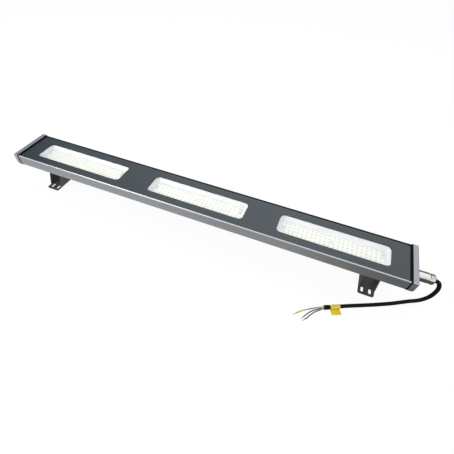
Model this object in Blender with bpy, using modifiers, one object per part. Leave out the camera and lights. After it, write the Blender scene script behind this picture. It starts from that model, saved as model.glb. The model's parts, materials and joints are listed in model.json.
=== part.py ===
"""Long linear LED flood light on two tilting sheet feet, with its gland and supply cable.

Units are metres and +Z is up. The origin is on the surface that the light stands on, below the
middle of the housing. X runs along the light, and -Y is the side that the cable end lies on.
"""
import math

import bmesh
import bpy
from mathutils import Matrix, Vector

MM = 0.001

# Gaps and overruns
SEAT_GAP = 0.3 * MM
CUT_OVERRUN = 1.0 * MM

# Housing extrusion. Heights of the section are measured from the top of the cover glass.
LIGHT_LENGTH = 1200.0 * MM
HOUSING_WIDTH = 125.5 * MM
HOUSING_DEPTH = 37.5 * MM
HOUSING_CORNER = 14.0 * MM
WALL = 2.5 * MM
RIM_HEIGHT = 2.5 * MM
RIM_SLOPE = 1.8 * MM
WEB_THICKNESS = 3.0 * MM
SCREW_PORT_WIDTH = 9.0 * MM
SKIRT_LIP = 2.25 * MM
FIN_THICKNESS = 1.8 * MM
FIN_SPACING = 5.0 * MM
FIN_DEPTH = 15.0 * MM
LOWER_PORT_WIDTH = 8.0 * MM
LOWER_PORT_DEPTH = 13.0 * MM
LOWER_PORT_Y = 38.0 * MM

# Rails in the back of the housing
RAIL_Y = 20.0 * MM
RAIL_CHANNEL_WIDTH = 14.5 * MM
RAIL_CHANNEL_HEIGHT = 6.0 * MM
RAIL_MOUTH = 9.0 * MM
RAIL_LIP = 2.2 * MM
RAIL_WALL = 3.0 * MM
RAIL_ROOF = 2.5 * MM

# End caps and gaskets
CAP_THICKNESS = 14.5 * MM
CAP_PROUD = 1.0 * MM
CAP_WALL = 3.0 * MM
CAP_PLATE = 3.2 * MM
CAP_BEVEL = 3.4 * MM
CAP_INNER_EASE = 1.0 * MM
CAP_TOP_CORNER = 1.5 * MM
CAP_PILLAR_RADIUS = 5.2 * MM
GASKET_THICKNESS = 2.8 * MM
GASKET_RIM = 8.5 * MM
CAP_SCREW_RADIUS = 2.4 * MM
CAP_SCREW_HEAD_RADIUS = 4.2 * MM
CAP_SCREW_HEAD = 4.6 * MM
CAP_SCREW_LENGTH = 24.0 * MM

# Cover glass, its print and its seal
GLASS_THICKNESS = 4.0 * MM
PRINT_THICKNESS = 0.4 * MM
SEAL_THICKNESS = 1.5 * MM
SEAL_WIDTH = 5.5 * MM
END_BAND = 46.9 * MM
SIDE_BAND = 28.9 * MM
WINDOW_GAP = 95.7 * MM
WINDOW_CORNER = 12.6 * MM
WINDOW_COUNT = 3

# Reflector trays, boards and chips
BOARD_DEPTH = 16.0 * MM
BOARD_THICKNESS = 1.2 * MM
LAYER_THICKNESS = 0.4 * MM
BOARD_MARGIN = 3.5 * MM
TRAY_SLOPE = 10.0 * MM
TRAY_WALL = 1.0 * MM
TRAY_FLANGE = 4.0 * MM
TRAY_FLOOR_CORNER = 4.0 * MM
CHIP_SIZE = 3.2 * MM
CHIP_HEIGHT = 0.7 * MM
CHIP_PITCH = 12.0 * MM
CHIP_ROW_PITCH = 11.5 * MM
CHIP_EDGE = 4.0 * MM

# Drivers, terminal block and inner leads
DRIVER_END_GAP = 14.35 * MM
DRIVER_WIDTH = 54.0 * MM
DRIVER_HEIGHT = 9.5 * MM
TERMINAL_SIZE = (12.0 * MM, 28.0 * MM, 9.0 * MM)
LEAD_DIAMETER = 5.0 * MM
LEAD_WALL_GAP = 3.25 * MM
LEAD_STEP = 15.0 * MM

# Saddles and feet
FOOT_INSET = 80.0 * MM
PIVOT_HEIGHT = 68.0 * MM
PIVOT_DROP = 22.5 * MM
SHEET = 3.0 * MM
BEND_RADIUS = 5.0 * MM
FOOT_WIDTH = 45.0 * MM
FOOT_HALF_LENGTH = 45.0 * MM
FOOT_CORNER = 6.0 * MM
FOOT_WALL_HALF = 28.5 * MM
FOOT_EAR_RADIUS = 13.0 * MM
FOOT_EAR_BASE = 49.0 * MM
SLOT_WIDTH = 7.5 * MM
SLOT_LENGTH = 17.0 * MM
SLOT_X = 10.5 * MM
SLOT_Y = 30.0 * MM
EAR_GAP = 0.4 * MM
SADDLE_HALF_LENGTH = 32.0 * MM
SADDLE_EAR_RADIUS = 12.0 * MM
SADDLE_EAR_HALF = 16.0 * MM
BOLT_RADIUS = 4.0 * MM
BOLT_CLEARANCE = 0.3 * MM
BOLT_HEAD_FLATS = 13.0 * MM
BOLT_HEAD_HEIGHT = 5.2 * MM
NUT_HEIGHT = 7.0 * MM
NUT_FLANGE_RADIUS = 8.4 * MM
NUT_FLANGE = 1.6 * MM
BOLT_STICK_OUT = 1.5 * MM

# Cable gland on the right-hand cap
GLAND_Y = -16.0 * MM
GLAND_DEPTH = 17.6 * MM
GLAND_FLATS = 24.0 * MM
GLAND_THREAD_RADIUS = 9.9 * MM
GLAND_THREAD_LENGTH = 12.5 * MM
GLAND_HOLE_CLEARANCE = 0.4 * MM
GLAND_WASHER = 1.3 * MM
GLAND_WASHER_RADIUS = 13.2 * MM
GLAND_BODY_LENGTH = 28.6 * MM
GLAND_CLAW_RADIUS = 9.2 * MM
GLAND_CLAW_LENGTH = 6.5 * MM
GLAND_NUT_LENGTH = 12.5 * MM
GLAND_NUT_HEX = 6.8 * MM
GLAND_MOUTH_RADIUS = 8.6 * MM
GLAND_INSERT_RADIUS = 7.6 * MM
GLAND_INSERT_LENGTH = 9.0 * MM
GLAND_CHAMFER = 1.2 * MM
LOCK_NUT_HEIGHT = 4.5 * MM

# Supply cable and what is on its end
CABLE_DIAMETER = 10.2 * MM
CABLE_POINT_STEP = 2.0
SLEEVE_WALL = 0.8 * MM
SLEEVE_LENGTH = 13.0 * MM
TAG_WALL = 0.7 * MM
TAG_LENGTH = 26.0 * MM
TAG_LEAF = 21.0 * MM
TAG_DISTANCE = 16.0 * MM
CORE_DIAMETER = 3.1 * MM
CORE_CIRCLE = 2.7 * MM
COPPER_DIAMETER = 1.7 * MM
COPPER_LENGTH = 8.0 * MM

# Route of the cable after the straight part in the gland, chosen by hand from the photograph.
CABLE_ROUTE = [
    (0.6460, -0.0160, 0.1103), (0.6570, -0.0160, 0.1040), (0.6645, -0.0165, 0.0880),
    (0.6665, -0.0165, 0.0660), (0.6625, -0.0175, 0.0430), (0.6500, -0.0195, 0.0220),
    (0.6290, -0.0245, 0.0094), (0.6070, -0.0355, 0.0059), (0.5830, -0.0490, 0.0054),
    (0.5480, -0.0670, 0.0054), (0.5130, -0.0840, 0.0055), (0.4790, -0.1005, 0.0061),
    (0.4480, -0.1165, 0.0063), (0.4210, -0.1300, 0.0063),
]
EARTH_ROUTE = [
    (0.4120, -0.1336, 0.0077), (0.3990, -0.1398, 0.0047), (0.3850, -0.1475, 0.0025),
    (0.3680, -0.1600, 0.0018), (0.3560, -0.1720, 0.0017),
]
NEUTRAL_ROUTE = [
    (0.4110, -0.1362, 0.0040), (0.3960, -0.1475, 0.0022), (0.3870, -0.1575, 0.0018),
    (0.3790, -0.1700, 0.0017), (0.3765, -0.1745, 0.0017),
]
LIVE_ROUTE = [
    (0.4125, -0.1400, 0.0048), (0.4010, -0.1500, 0.0026), (0.3930, -0.1610, 0.0018),
    (0.3860, -0.1730, 0.0017), (0.3815, -0.1790, 0.0017),
]

# Rounds: how many straight sides stand in for a round shape
CORNER_STEPS = 6
BORE_SIDES = 20
SMALL_SIDES = 10

GLASS_HEIGHT = PIVOT_HEIGHT + PIVOT_DROP + HOUSING_DEPTH
FOOT_X = LIGHT_LENGTH / 2 - FOOT_INSET
CAP_INNER_X = LIGHT_LENGTH / 2 - CAP_THICKNESS
HOUSING_HALF = CAP_INNER_X - SEAT_GAP - GASKET_THICKNESS - SEAT_GAP
BOARD_TOP = GLASS_HEIGHT - BOARD_DEPTH
BOARD_BASE_TOP = BOARD_TOP - LAYER_THICKNESS - SEAT_GAP
WEB_TOP = BOARD_BASE_TOP - BOARD_THICKNESS - SEAT_GAP - GLASS_HEIGHT
WEB_BOTTOM = WEB_TOP - WEB_THICKNESS
PRINT_TOP = -(GLASS_THICKNESS + SEAT_GAP)
SEAL_TOP = PRINT_TOP - PRINT_THICKNESS - SEAT_GAP
LEDGE_TOP = SEAL_TOP - SEAL_THICKNESS - SEAT_GAP
INNER_HALF_WIDTH = HOUSING_WIDTH / 2 - WALL
GLASS_HALF_WIDTH = INNER_HALF_WIDTH - SEAT_GAP
WINDOWS_SPAN = 2 * (HOUSING_HALF - END_BAND)
WINDOW_LENGTH = (WINDOWS_SPAN - (WINDOW_COUNT - 1) * WINDOW_GAP) / WINDOW_COUNT
WINDOW_WIDTH = HOUSING_WIDTH - 2 * SIDE_BAND
WINDOW_PITCH = WINDOW_LENGTH + WINDOW_GAP
TRAY_FLOOR = (WINDOW_LENGTH - 2 * TRAY_SLOPE, WINDOW_WIDTH - 2 * TRAY_SLOPE)
BOARD_SIZE = (TRAY_FLOOR[0] + 2 * BOARD_MARGIN, TRAY_FLOOR[1] + 2 * BOARD_MARGIN)
CHIP_COLUMNS = int((TRAY_FLOOR[0] - CHIP_SIZE - 2 * CHIP_EDGE) / CHIP_PITCH) + 1
CHIP_ROWS = int((TRAY_FLOOR[1] - CHIP_SIZE - 2 * CHIP_EDGE) / CHIP_ROW_PITCH) + 1
DRIVER_LENGTH = WINDOW_PITCH - BOARD_SIZE[0] - 2 * DRIVER_END_GAP
LEAD_Y = LEAD_WALL_GAP + LEAD_DIAMETER / 2 + SCREW_PORT_WIDTH - INNER_HALF_WIDTH
HOUSING_BOTTOM = GLASS_HEIGHT - HOUSING_DEPTH
SADDLE_WIDTH = FOOT_WIDTH - 2 * SHEET - 2 * EAR_GAP
SADDLE_TOP = HOUSING_BOTTOM - SEAT_GAP - PIVOT_HEIGHT
GLAND_HEIGHT = GLASS_HEIGHT - GLAND_DEPTH
CABLE_RADIUS = CABLE_DIAMETER / 2
UPPER_SCREW = (INNER_HALF_WIDTH - SCREW_PORT_WIDTH / 2, (LEDGE_TOP + WEB_TOP) / 2)
LOWER_SCREW = (LOWER_PORT_Y, WEB_BOTTOM - LOWER_PORT_DEPTH * 0.5)

# Axis turns that carry a shape drawn flat, or turned about its own Z, into place
ALONG_X = Matrix(((0, 0, 1, 0), (1, 0, 0, 0), (0, 1, 0, 0), (0, 0, 0, 1)))
ALONG_Y = Matrix(((1, 0, 0, 0), (0, 0, -1, 0), (0, 1, 0, 0), (0, 0, 0, 1)))
ALONG_Z = Matrix.Identity(4)


def clear_scene():
    for obj in list(bpy.data.objects):
        bpy.data.objects.remove(obj)


def collection(name):
    made = bpy.data.collections.new(name)
    bpy.context.scene.collection.children.link(made)
    return made


def material(name, colour, roughness, metallic=0.0, alpha=1.0):
    made = bpy.data.materials.new(name)
    made.use_nodes = True
    shader = made.node_tree.nodes["Principled BSDF"]
    shader.inputs["Base Color"].default_value = (*colour, 1.0)
    shader.inputs["Roughness"].default_value = roughness
    shader.inputs["Metallic"].default_value = metallic
    shader.inputs["Alpha"].default_value = alpha
    made.diffuse_color = (*colour, alpha)
    return made


clear_scene()
PARTS = collection("led_flood_light")
CUTTERS = collection("cutters")

ANODISED = material("anodised_aluminium", (0.36, 0.37, 0.38), 0.42, 0.8)
CAST = material("cast_cap", (0.42, 0.42, 0.47), 0.45, 0.7)
RUBBER = material("black_rubber", (0.01, 0.01, 0.01), 0.7)
GLASS = material("clear_glass", (0.9, 0.95, 0.95), 0.05, 0.0, 0.3)
PRINT = material("slate_print", (0.08, 0.1, 0.12), 0.4)
WHITE = material("white_reflector", (0.86, 0.87, 0.86), 0.5)
BOARD = material("white_board", (0.82, 0.84, 0.82), 0.45)
STEEL = material("bright_steel", (0.6, 0.6, 0.6), 0.3, 1.0)
FOOT_PAINT = material("dark_grey_paint", (0.06, 0.06, 0.065), 0.5)
NICKEL = material("nickel_plate", (0.72, 0.7, 0.67), 0.25, 1.0)
POTTING = material("driver_case", (0.1, 0.1, 0.11), 0.6)
TERMINAL = material("terminal_plastic", (0.75, 0.75, 0.72), 0.5)
TAG = material("yellow_tag", (0.9, 0.7, 0.05), 0.5)
GREEN_YELLOW = material("green_yellow_core", (0.55, 0.65, 0.05), 0.5)
BLUE = material("blue_core", (0.05, 0.25, 0.6), 0.5)
BROWN = material("brown_core", (0.25, 0.1, 0.04), 0.5)


def place(obj, look=None, parent=None, at=(0.0, 0.0, 0.0)):
    """Put an object in the model, or among the cutters when it has no look."""
    (PARTS if look else CUTTERS).objects.link(obj)
    obj.location = at
    if parent:
        obj.parent = parent
    if look:
        obj.data.materials.clear()
        obj.data.materials.append(look)
    else:
        obj.hide_render = True
        obj.display_type = "WIRE"
    return obj


def empty(name, at, parent=None):
    made = bpy.data.objects.new(name, None)
    PARTS.objects.link(made)
    made.location = at
    made.parent = parent
    return made


def from_bmesh(name, bm):
    mesh = bpy.data.meshes.new(name)
    bm.normal_update()
    bm.to_mesh(mesh)
    bm.free()
    return bpy.data.objects.new(name, mesh)


def add_box(bm, size, centre):
    made = bmesh.ops.create_cube(bm, size=1.0)
    bmesh.ops.scale(bm, vec=size, verts=made["verts"])
    bmesh.ops.translate(bm, vec=centre, verts=made["verts"])


def add_rod(bm, radius, length, centre, turn=ALONG_Z, sides=BORE_SIDES):
    """A cylinder about its own Z, turned and moved into place."""
    matrix = Matrix.Translation(centre) @ turn
    bmesh.ops.create_cone(bm, cap_ends=True, segments=sides, radius1=radius, radius2=radius,
                          depth=length, matrix=matrix)


def box(name, size, centre):
    bm = bmesh.new()
    add_box(bm, size, centre)
    return from_bmesh(name, bm)


def rod(name, radius, length, centre, turn=ALONG_Z, sides=BORE_SIDES):
    bm = bmesh.new()
    add_rod(bm, radius, length, centre, turn, sides)
    return from_bmesh(name, bm)


def flat_solid(name, loops, thickness, centre, turn):
    """A flat outline, with any holes as further loops, made as thick as asked and welded."""
    curve = bpy.data.curves.new(name, "CURVE")
    curve.dimensions = "2D"
    curve.fill_mode = "BOTH"
    curve.extrude = thickness / 2
    for loop in loops:
        spline = curve.splines.new("POLY")
        spline.points.add(len(loop) - 1)
        for point, (across, up) in zip(spline.points, loop):
            point.co = (across, up, 0.0, 1.0)
        spline.use_cyclic_u = True
    outline = bpy.data.objects.new(name + "_outline", curve)
    CUTTERS.objects.link(outline)
    mesh = as_mesh(outline)
    mesh.name = name
    mesh.transform(Matrix.Translation(centre) @ turn)
    return bpy.data.objects.new(name, mesh)


def as_mesh(source):
    """The evaluated mesh of an object, welded, after which the object is removed."""
    bpy.context.view_layer.update()
    evaluated = source.evaluated_get(bpy.context.evaluated_depsgraph_get())
    mesh = bpy.data.meshes.new_from_object(evaluated)
    mesh.materials.clear()
    bm = bmesh.new()
    bm.from_mesh(mesh)
    bmesh.ops.remove_doubles(bm, verts=bm.verts, dist=CUT_OVERRUN * 0.01)
    bmesh.ops.recalc_face_normals(bm, faces=bm.faces)
    bm.to_mesh(mesh)
    bm.free()
    bpy.data.objects.remove(source)
    return mesh


def turned(name, profile, centre, turn, sides=BORE_SIDES, closed=False):
    """A profile of (radius, height) points, from the top down its outer side, screwed round."""
    mesh = bpy.data.meshes.new(name)
    count = len(profile)
    links = [(i, i + 1) for i in range(count - 1)]
    if closed:
        links.append((count - 1, 0))
    mesh.from_pydata([(radius, 0.0, height) for radius, height in profile], links, [])
    obj = bpy.data.objects.new(name, mesh)
    CUTTERS.objects.link(obj)
    screw = obj.modifiers.new("screw", "SCREW")
    screw.angle = 2 * math.pi
    screw.steps = sides
    screw.render_steps = sides
    screw.use_merge_vertices = True
    screw.merge_threshold = CUT_OVERRUN * 0.01
    solid = as_mesh(obj)
    solid.name = name
    solid.transform(Matrix.Translation(centre) @ turn)
    return bpy.data.objects.new(name, solid)


def combine(target, tool, operation):
    change = target.modifiers.new(operation.lower(), "BOOLEAN")
    change.operation = operation
    change.object = tool
    change.solver = "EXACT"


def settled(obj):
    """The shape with its modifiers applied, as a mesh for copies of a fastener."""
    CUTTERS.objects.link(obj)
    return as_mesh(obj)


def repeat(name, mesh, spots, look, parent=None):
    """The same fastener at each place, each copy an object of its own."""
    for number, spot in enumerate(spots, 1):
        place(bpy.data.objects.new("%s_%d" % (name, number), mesh), look, parent, spot)


def arc(centre, radius, start, end, steps=CORNER_STEPS):
    """Points on an arc, angles in degrees."""
    points = []
    for step in range(steps + 1):
        angle = math.radians(start + (end - start) * step / steps)
        points.append((centre[0] + radius * math.cos(angle), centre[1] + radius * math.sin(angle)))
    return points


def rounded_rectangle(half_x, half_y, radius, centre=(0.0, 0.0), steps=CORNER_STEPS):
    x, y = half_x - radius, half_y - radius
    points = []
    for sx, sy, start in ((1, 1, 0), (-1, 1, 90), (-1, -1, 180), (1, -1, 270)):
        corner = (centre[0] + sx * x, centre[1] + sy * y)
        points += arc(corner, radius, start, start + 90, steps)
    return points


def mirrored(half):
    """A closed outline from its right half; a point on the middle line isn't repeated."""
    return half + [(-across, up) for across, up in reversed(half) if across > SEAT_GAP / 2]


def housing_outline():
    """Right half of the extrusion, from the middle of the web round the wall and the back."""
    corner = (HOUSING_WIDTH / 2 - HOUSING_CORNER, HOUSING_CORNER - HOUSING_DEPTH)
    port = INNER_HALF_WIDTH - SCREW_PORT_WIDTH
    bottom = -HOUSING_DEPTH
    half = [(port, WEB_TOP), (port, LEDGE_TOP), (INNER_HALF_WIDTH, LEDGE_TOP),
            (INNER_HALF_WIDTH, RIM_HEIGHT), (HOUSING_WIDTH / 2, RIM_HEIGHT - RIM_SLOPE)]
    half += arc(corner, HOUSING_CORNER, 0, -90)
    half += [(corner[0] - SKIRT_LIP, bottom), (corner[0] - SKIRT_LIP, bottom + WALL)]
    half += arc(corner, HOUSING_CORNER - WALL, -90, 0)
    half += [(INNER_HALF_WIDTH, WEB_BOTTOM)]
    half += hanging_block(LOWER_PORT_Y, LOWER_PORT_WIDTH, WEB_BOTTOM - LOWER_PORT_DEPTH)
    half += rail_outline(bottom)
    half += hanging_block(FIN_SPACING, FIN_THICKNESS, WEB_BOTTOM - FIN_DEPTH)
    half += [(FIN_THICKNESS / 2, WEB_BOTTOM), (FIN_THICKNESS / 2, WEB_BOTTOM - FIN_DEPTH)]
    return mirrored(half)


def hanging_block(middle, width, low):
    """The four corners of a fin or port that hangs from the web, from its outer side."""
    outer, inner = middle + width / 2, middle - width / 2
    return [(outer, WEB_BOTTOM), (outer, low), (inner, low), (inner, WEB_BOTTOM)]


def rail_outline(bottom):
    """A rail that is open to the back, from its outer side to its inner side."""
    channel = RAIL_CHANNEL_WIDTH / 2
    outer = channel + RAIL_WALL
    mouth = RAIL_MOUTH / 2
    lip = bottom + RAIL_LIP
    roof = lip + RAIL_CHANNEL_HEIGHT
    side = [(outer, WEB_BOTTOM), (outer, bottom), (mouth, bottom), (mouth, lip), (channel, lip),
            (channel, roof)]
    points = [(RAIL_Y + across, up) for across, up in side]
    points += [(RAIL_Y - across, up) for across, up in reversed(side)]
    return points


def rail_chamber(sign):
    """The hollow between a rail's roof and the web."""
    half = RAIL_CHANNEL_WIDTH / 2
    low = RAIL_LIP - HOUSING_DEPTH + RAIL_CHANNEL_HEIGHT + RAIL_ROOF
    middle = sign * RAIL_Y
    return [(middle - half, WEB_BOTTOM), (middle + half, WEB_BOTTOM), (middle + half, low),
            (middle - half, low)]


def tub_outline(grow, top_corner):
    """The housing's outer section, grown all round by a margin."""
    corner = (HOUSING_WIDTH / 2 - HOUSING_CORNER, HOUSING_CORNER - HOUSING_DEPTH)
    top = RIM_HEIGHT + grow
    side = HOUSING_WIDTH / 2 + grow
    half = arc((side - top_corner, top - top_corner), top_corner, 90, 0, 3)
    half += arc(corner, HOUSING_CORNER + grow, 0, -90)
    return mirrored(half)


def screw_spots(centre_x):
    """The four end-cap screws of one end: two in the upper ports, two in the lower."""
    spots = []
    for across, up in (UPPER_SCREW, LOWER_SCREW):
        for sign in (1, -1):
            spots.append((centre_x, sign * across, GLASS_HEIGHT + up))
    return spots


def window_x(index):
    return (index - (WINDOW_COUNT - 1) / 2) * WINDOW_PITCH


def port_loops():
    """The four round screw ports of the section, the same in the gaskets."""
    loops = []
    for across, up in (UPPER_SCREW, LOWER_SCREW):
        for sign in (1, -1):
            step = 360 / SMALL_SIDES
            loops.append(arc((sign * across, up), CAP_SCREW_RADIUS + SEAT_GAP, 0, 360 - step,
                             SMALL_SIDES - 1))
    return loops


def make_housing():
    loops = [housing_outline(), rail_chamber(1), rail_chamber(-1)] + port_loops()
    housing = flat_solid("housing", loops, 2 * HOUSING_HALF, (0.0, 0.0, GLASS_HEIGHT), ALONG_X)
    place(housing, ANODISED)


def make_end_cap(word, side):
    inner = side * CAP_INNER_X
    middle = inner + side * CAP_THICKNESS / 2
    cap = place(cap_block(word, side, inner), CAST)
    pocket_depth = CAP_THICKNESS - CAP_PLATE
    pocket_x = inner + side * (pocket_depth - CUT_OVERRUN) / 2
    pocket = flat_solid("cap_pocket_" + word, [tub_outline(CAP_PROUD - CAP_WALL, CAP_TOP_CORNER)],
                        pocket_depth + CUT_OVERRUN, (pocket_x, 0.0, GLASS_HEIGHT), ALONG_X)
    combine(cap, place(pocket), "DIFFERENCE")

    pillars = bmesh.new()
    holes = bmesh.new()
    pillar_length = pocket_depth + CAP_PLATE / 2
    head_depth = CAP_SCREW_HEAD + SEAT_GAP
    for spot in screw_spots(inner + side * pillar_length / 2):
        add_rod(pillars, CAP_PILLAR_RADIUS, pillar_length, spot, ALONG_X, SMALL_SIDES)
    for spot in screw_spots(middle):
        add_rod(holes, CAP_SCREW_RADIUS + SEAT_GAP, 2 * CAP_THICKNESS, spot, ALONG_X, SMALL_SIDES)
    combine(cap, place(from_bmesh("cap_pillars_" + word, pillars)), "UNION")
    combine(cap, place(from_bmesh("cap_holes_" + word, holes)), "DIFFERENCE")

    sinks = bmesh.new()
    outer = side * LIGHT_LENGTH / 2
    for spot in screw_spots(outer - side * (head_depth - CUT_OVERRUN) / 2):
        add_rod(sinks, CAP_SCREW_HEAD_RADIUS + SEAT_GAP, head_depth + CUT_OVERRUN, spot, ALONG_X, 12)
    combine(cap, place(from_bmesh("cap_sinks_" + word, sinks)), "DIFFERENCE")
    if side > 0:
        bore = rod("gland_hole", GLAND_THREAD_RADIUS + GLAND_HOLE_CLEARANCE, 4 * CAP_PLATE,
                   (outer, GLAND_Y, GLAND_HEIGHT), ALONG_X)
        combine(cap, place(bore), "DIFFERENCE")


def cap_block(word, side, inner):
    """The cap's outer form: a loft that is rounded at its outer face and eased at its inner one."""
    levels = [(0.0, -CAP_INNER_EASE), (CAP_INNER_EASE, 0.0)]
    for angle in (0, 30, 60, 90):
        turn = math.radians(angle)
        levels.append((CAP_THICKNESS - CAP_BEVEL * (1 - math.sin(turn)),
                       -CAP_BEVEL * (1 - math.cos(turn))))
    bm = bmesh.new()
    rings = []
    for depth, inset in levels:
        corner = max(CAP_TOP_CORNER + inset, SEAT_GAP)
        outline = tub_outline(CAP_PROUD + inset, corner)
        rings.append([bm.verts.new((inner + side * depth, across, GLASS_HEIGHT + up))
                      for across, up in outline])
    for first, second in zip(rings, rings[1:]):
        for step, vert in enumerate(first):
            after = (step + 1) % len(first)
            bm.faces.new((vert, first[after], second[after], second[step]))
    bm.faces.new(rings[0])
    bm.faces.new(rings[-1])
    bmesh.ops.recalc_face_normals(bm, faces=bm.faces)
    return from_bmesh("end_cap_" + word, bm)


def make_gasket(word, side):
    middle = side * (CAP_INNER_X - SEAT_GAP - GASKET_THICKNESS / 2)
    loops = [tub_outline(CAP_PROUD, CAP_TOP_CORNER), gasket_window()] + port_loops()
    gasket = flat_solid("end_gasket_" + word, loops, GASKET_THICKNESS,
                        (middle, 0.0, GLASS_HEIGHT), ALONG_X)
    place(gasket, RUBBER)


def gasket_window():
    """The opening in a gasket that the leads pass through, clear of the four screws."""
    half_width = LOWER_SCREW[0] - GASKET_RIM
    high = -CAP_WALL
    low = WALL - HOUSING_DEPTH
    return rounded_rectangle(half_width, (high - low) / 2, WALL, (0.0, (high + low) / 2), 2)


def make_end_screws(word, side):
    """Socket-head screws that hold a cap, with their heads sunk in its face."""
    reach = CAP_SCREW_LENGTH
    profile = [(0.0, 0.0), (CAP_SCREW_HEAD_RADIUS, 0.0), (CAP_SCREW_HEAD_RADIUS, -CAP_SCREW_HEAD),
               (CAP_SCREW_RADIUS, -CAP_SCREW_HEAD), (CAP_SCREW_RADIUS, -CAP_SCREW_HEAD - reach),
               (0.0, -CAP_SCREW_HEAD - reach)]
    turn = Matrix.Rotation(side * math.pi / 2, 4, "Y")
    screw = turned("end_screw_" + word, profile, (0.0, 0.0, 0.0), turn, SMALL_SIDES)
    repeat("end_cap_screw_" + word, screw.data, screw_spots(side * LIGHT_LENGTH / 2), STEEL)


def make_glass():
    size = (2 * (HOUSING_HALF - SEAT_GAP), 2 * GLASS_HALF_WIDTH, GLASS_THICKNESS)
    place(box("cover_glass", size, (0.0, 0.0, GLASS_HEIGHT - GLASS_THICKNESS / 2)), GLASS)
    half_x, half_y = size[0] / 2 - SEAT_GAP, size[1] / 2 - SEAT_GAP
    loops = [rounded_rectangle(half_x, half_y, WALL, steps=2)]
    for index in range(WINDOW_COUNT):
        loops.append(rounded_rectangle(WINDOW_LENGTH / 2, WINDOW_WIDTH / 2, WINDOW_CORNER,
                                       (window_x(index), 0.0)))
    middle = GLASS_HEIGHT + PRINT_TOP - PRINT_THICKNESS / 2
    place(flat_solid("glass_print", loops, PRINT_THICKNESS, (0.0, 0.0, middle), ALONG_Z), PRINT)
    loops = [rounded_rectangle(half_x, half_y, WALL, steps=2),
             rounded_rectangle(half_x - SEAL_WIDTH, half_y - SEAL_WIDTH, WALL, steps=2)]
    middle = GLASS_HEIGHT + SEAL_TOP - SEAL_THICKNESS / 2
    place(flat_solid("glass_seal", loops, SEAL_THICKNESS, (0.0, 0.0, middle), ALONG_Z), RUBBER)


def make_tray(index):
    """A white frame whose sides slope from the window down to the board."""
    bm = bmesh.new()
    top = SEAL_TOP
    low = SEAT_GAP + TRAY_WALL - BOARD_DEPTH
    levels = [(TRAY_FLANGE, top, WINDOW_CORNER + TRAY_FLANGE), (0.0, top, WINDOW_CORNER),
              (-TRAY_SLOPE, low, TRAY_FLOOR_CORNER)]
    rings = []
    for grow, height, radius in levels:
        points = rounded_rectangle(WINDOW_LENGTH / 2 + grow, WINDOW_WIDTH / 2 + grow, radius,
                                   (window_x(index), 0.0), 4)
        rings.append([bm.verts.new((x, y, GLASS_HEIGHT + height)) for x, y in points])
    for upper, lower in zip(rings, rings[1:]):
        for step, vert in enumerate(upper):
            after = (step + 1) % len(upper)
            bm.faces.new((vert, upper[after], lower[after], lower[step]))
    tray = place(from_bmesh("reflector_tray_%d" % (index + 1), bm), WHITE)
    shell = tray.modifiers.new("wall", "SOLIDIFY")
    shell.thickness = TRAY_WALL
    shell.offset = -1.0
    shell.use_even_offset = True


def make_board(index):
    """An aluminium board on the web, and the white circuit layer on it with its rows of chips."""
    middle = window_x(index)
    length, width = BOARD_SIZE
    number = str(index + 1)
    board = box("led_board_" + number, (length, width, BOARD_THICKNESS),
                (middle, 0.0, BOARD_BASE_TOP - BOARD_THICKNESS / 2))
    place(board, ANODISED)
    layer = box("led_array_" + number, (length, width, LAYER_THICKNESS),
                (middle, 0.0, BOARD_TOP - LAYER_THICKNESS / 2))
    place(layer, BOARD)

    chips = bmesh.new()
    sunk = LAYER_THICKNESS / 2
    height = BOARD_TOP + (CHIP_HEIGHT - sunk) / 2
    for column in range(CHIP_COLUMNS):
        for row in range(CHIP_ROWS):
            x = middle + (column - (CHIP_COLUMNS - 1) / 2) * CHIP_PITCH
            y = (row - (CHIP_ROWS - 1) / 2) * CHIP_ROW_PITCH
            add_box(chips, (CHIP_SIZE, CHIP_SIZE, CHIP_HEIGHT + sunk), (x, y, height))
    combine(layer, place(from_bmesh("chips_" + number, chips)), "UNION")


def make_electrics():
    """Two drivers under the dark stretches of the glass, a terminal block and the inner leads."""
    floor = GLASS_HEIGHT + WEB_TOP + SEAT_GAP
    for word, side in (("left", -1), ("right", 1)):
        centre = (side * WINDOW_PITCH / 2, 0.0, floor + DRIVER_HEIGHT / 2)
        place(box("led_driver_" + word, (DRIVER_LENGTH, DRIVER_WIDTH, DRIVER_HEIGHT), centre), POTTING)
    block_x = HOUSING_HALF - TERMINAL_SIZE[0]
    place(box("terminal_block", TERMINAL_SIZE, (block_x, LEAD_Y / 2, floor + TERMINAL_SIZE[2] / 2)),
          TERMINAL)

    lead_height = floor + LEAD_DIAMETER / 2
    driver_end = WINDOW_PITCH / 2 + DRIVER_LENGTH / 2
    start_x = block_x - TERMINAL_SIZE[0] / 2 - SEAT_GAP
    route = lead_route(start_x, driver_end + SEAT_GAP, lead_height)
    place(tube("board_supply_lead", route, LEAD_DIAMETER), WHITE)
    link_start = WINDOW_PITCH / 2 - DRIVER_LENGTH / 2 - SEAT_GAP
    route = lead_route(link_start, -link_start, lead_height)
    place(tube("driver_link_lead", route, LEAD_DIAMETER), WHITE)


def lead_route(start_x, end_x, height):
    """A lead from one piece, out beside the trays, along them and in to the next piece."""
    turn_y = LEAD_Y / 2
    return [(start_x, turn_y, height), (start_x - LEAD_STEP / 2, turn_y, height),
            (start_x - LEAD_STEP, LEAD_Y, height), (end_x + LEAD_STEP, LEAD_Y, height),
            (end_x + LEAD_STEP / 2, turn_y, height), (end_x, turn_y, height)]


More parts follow.
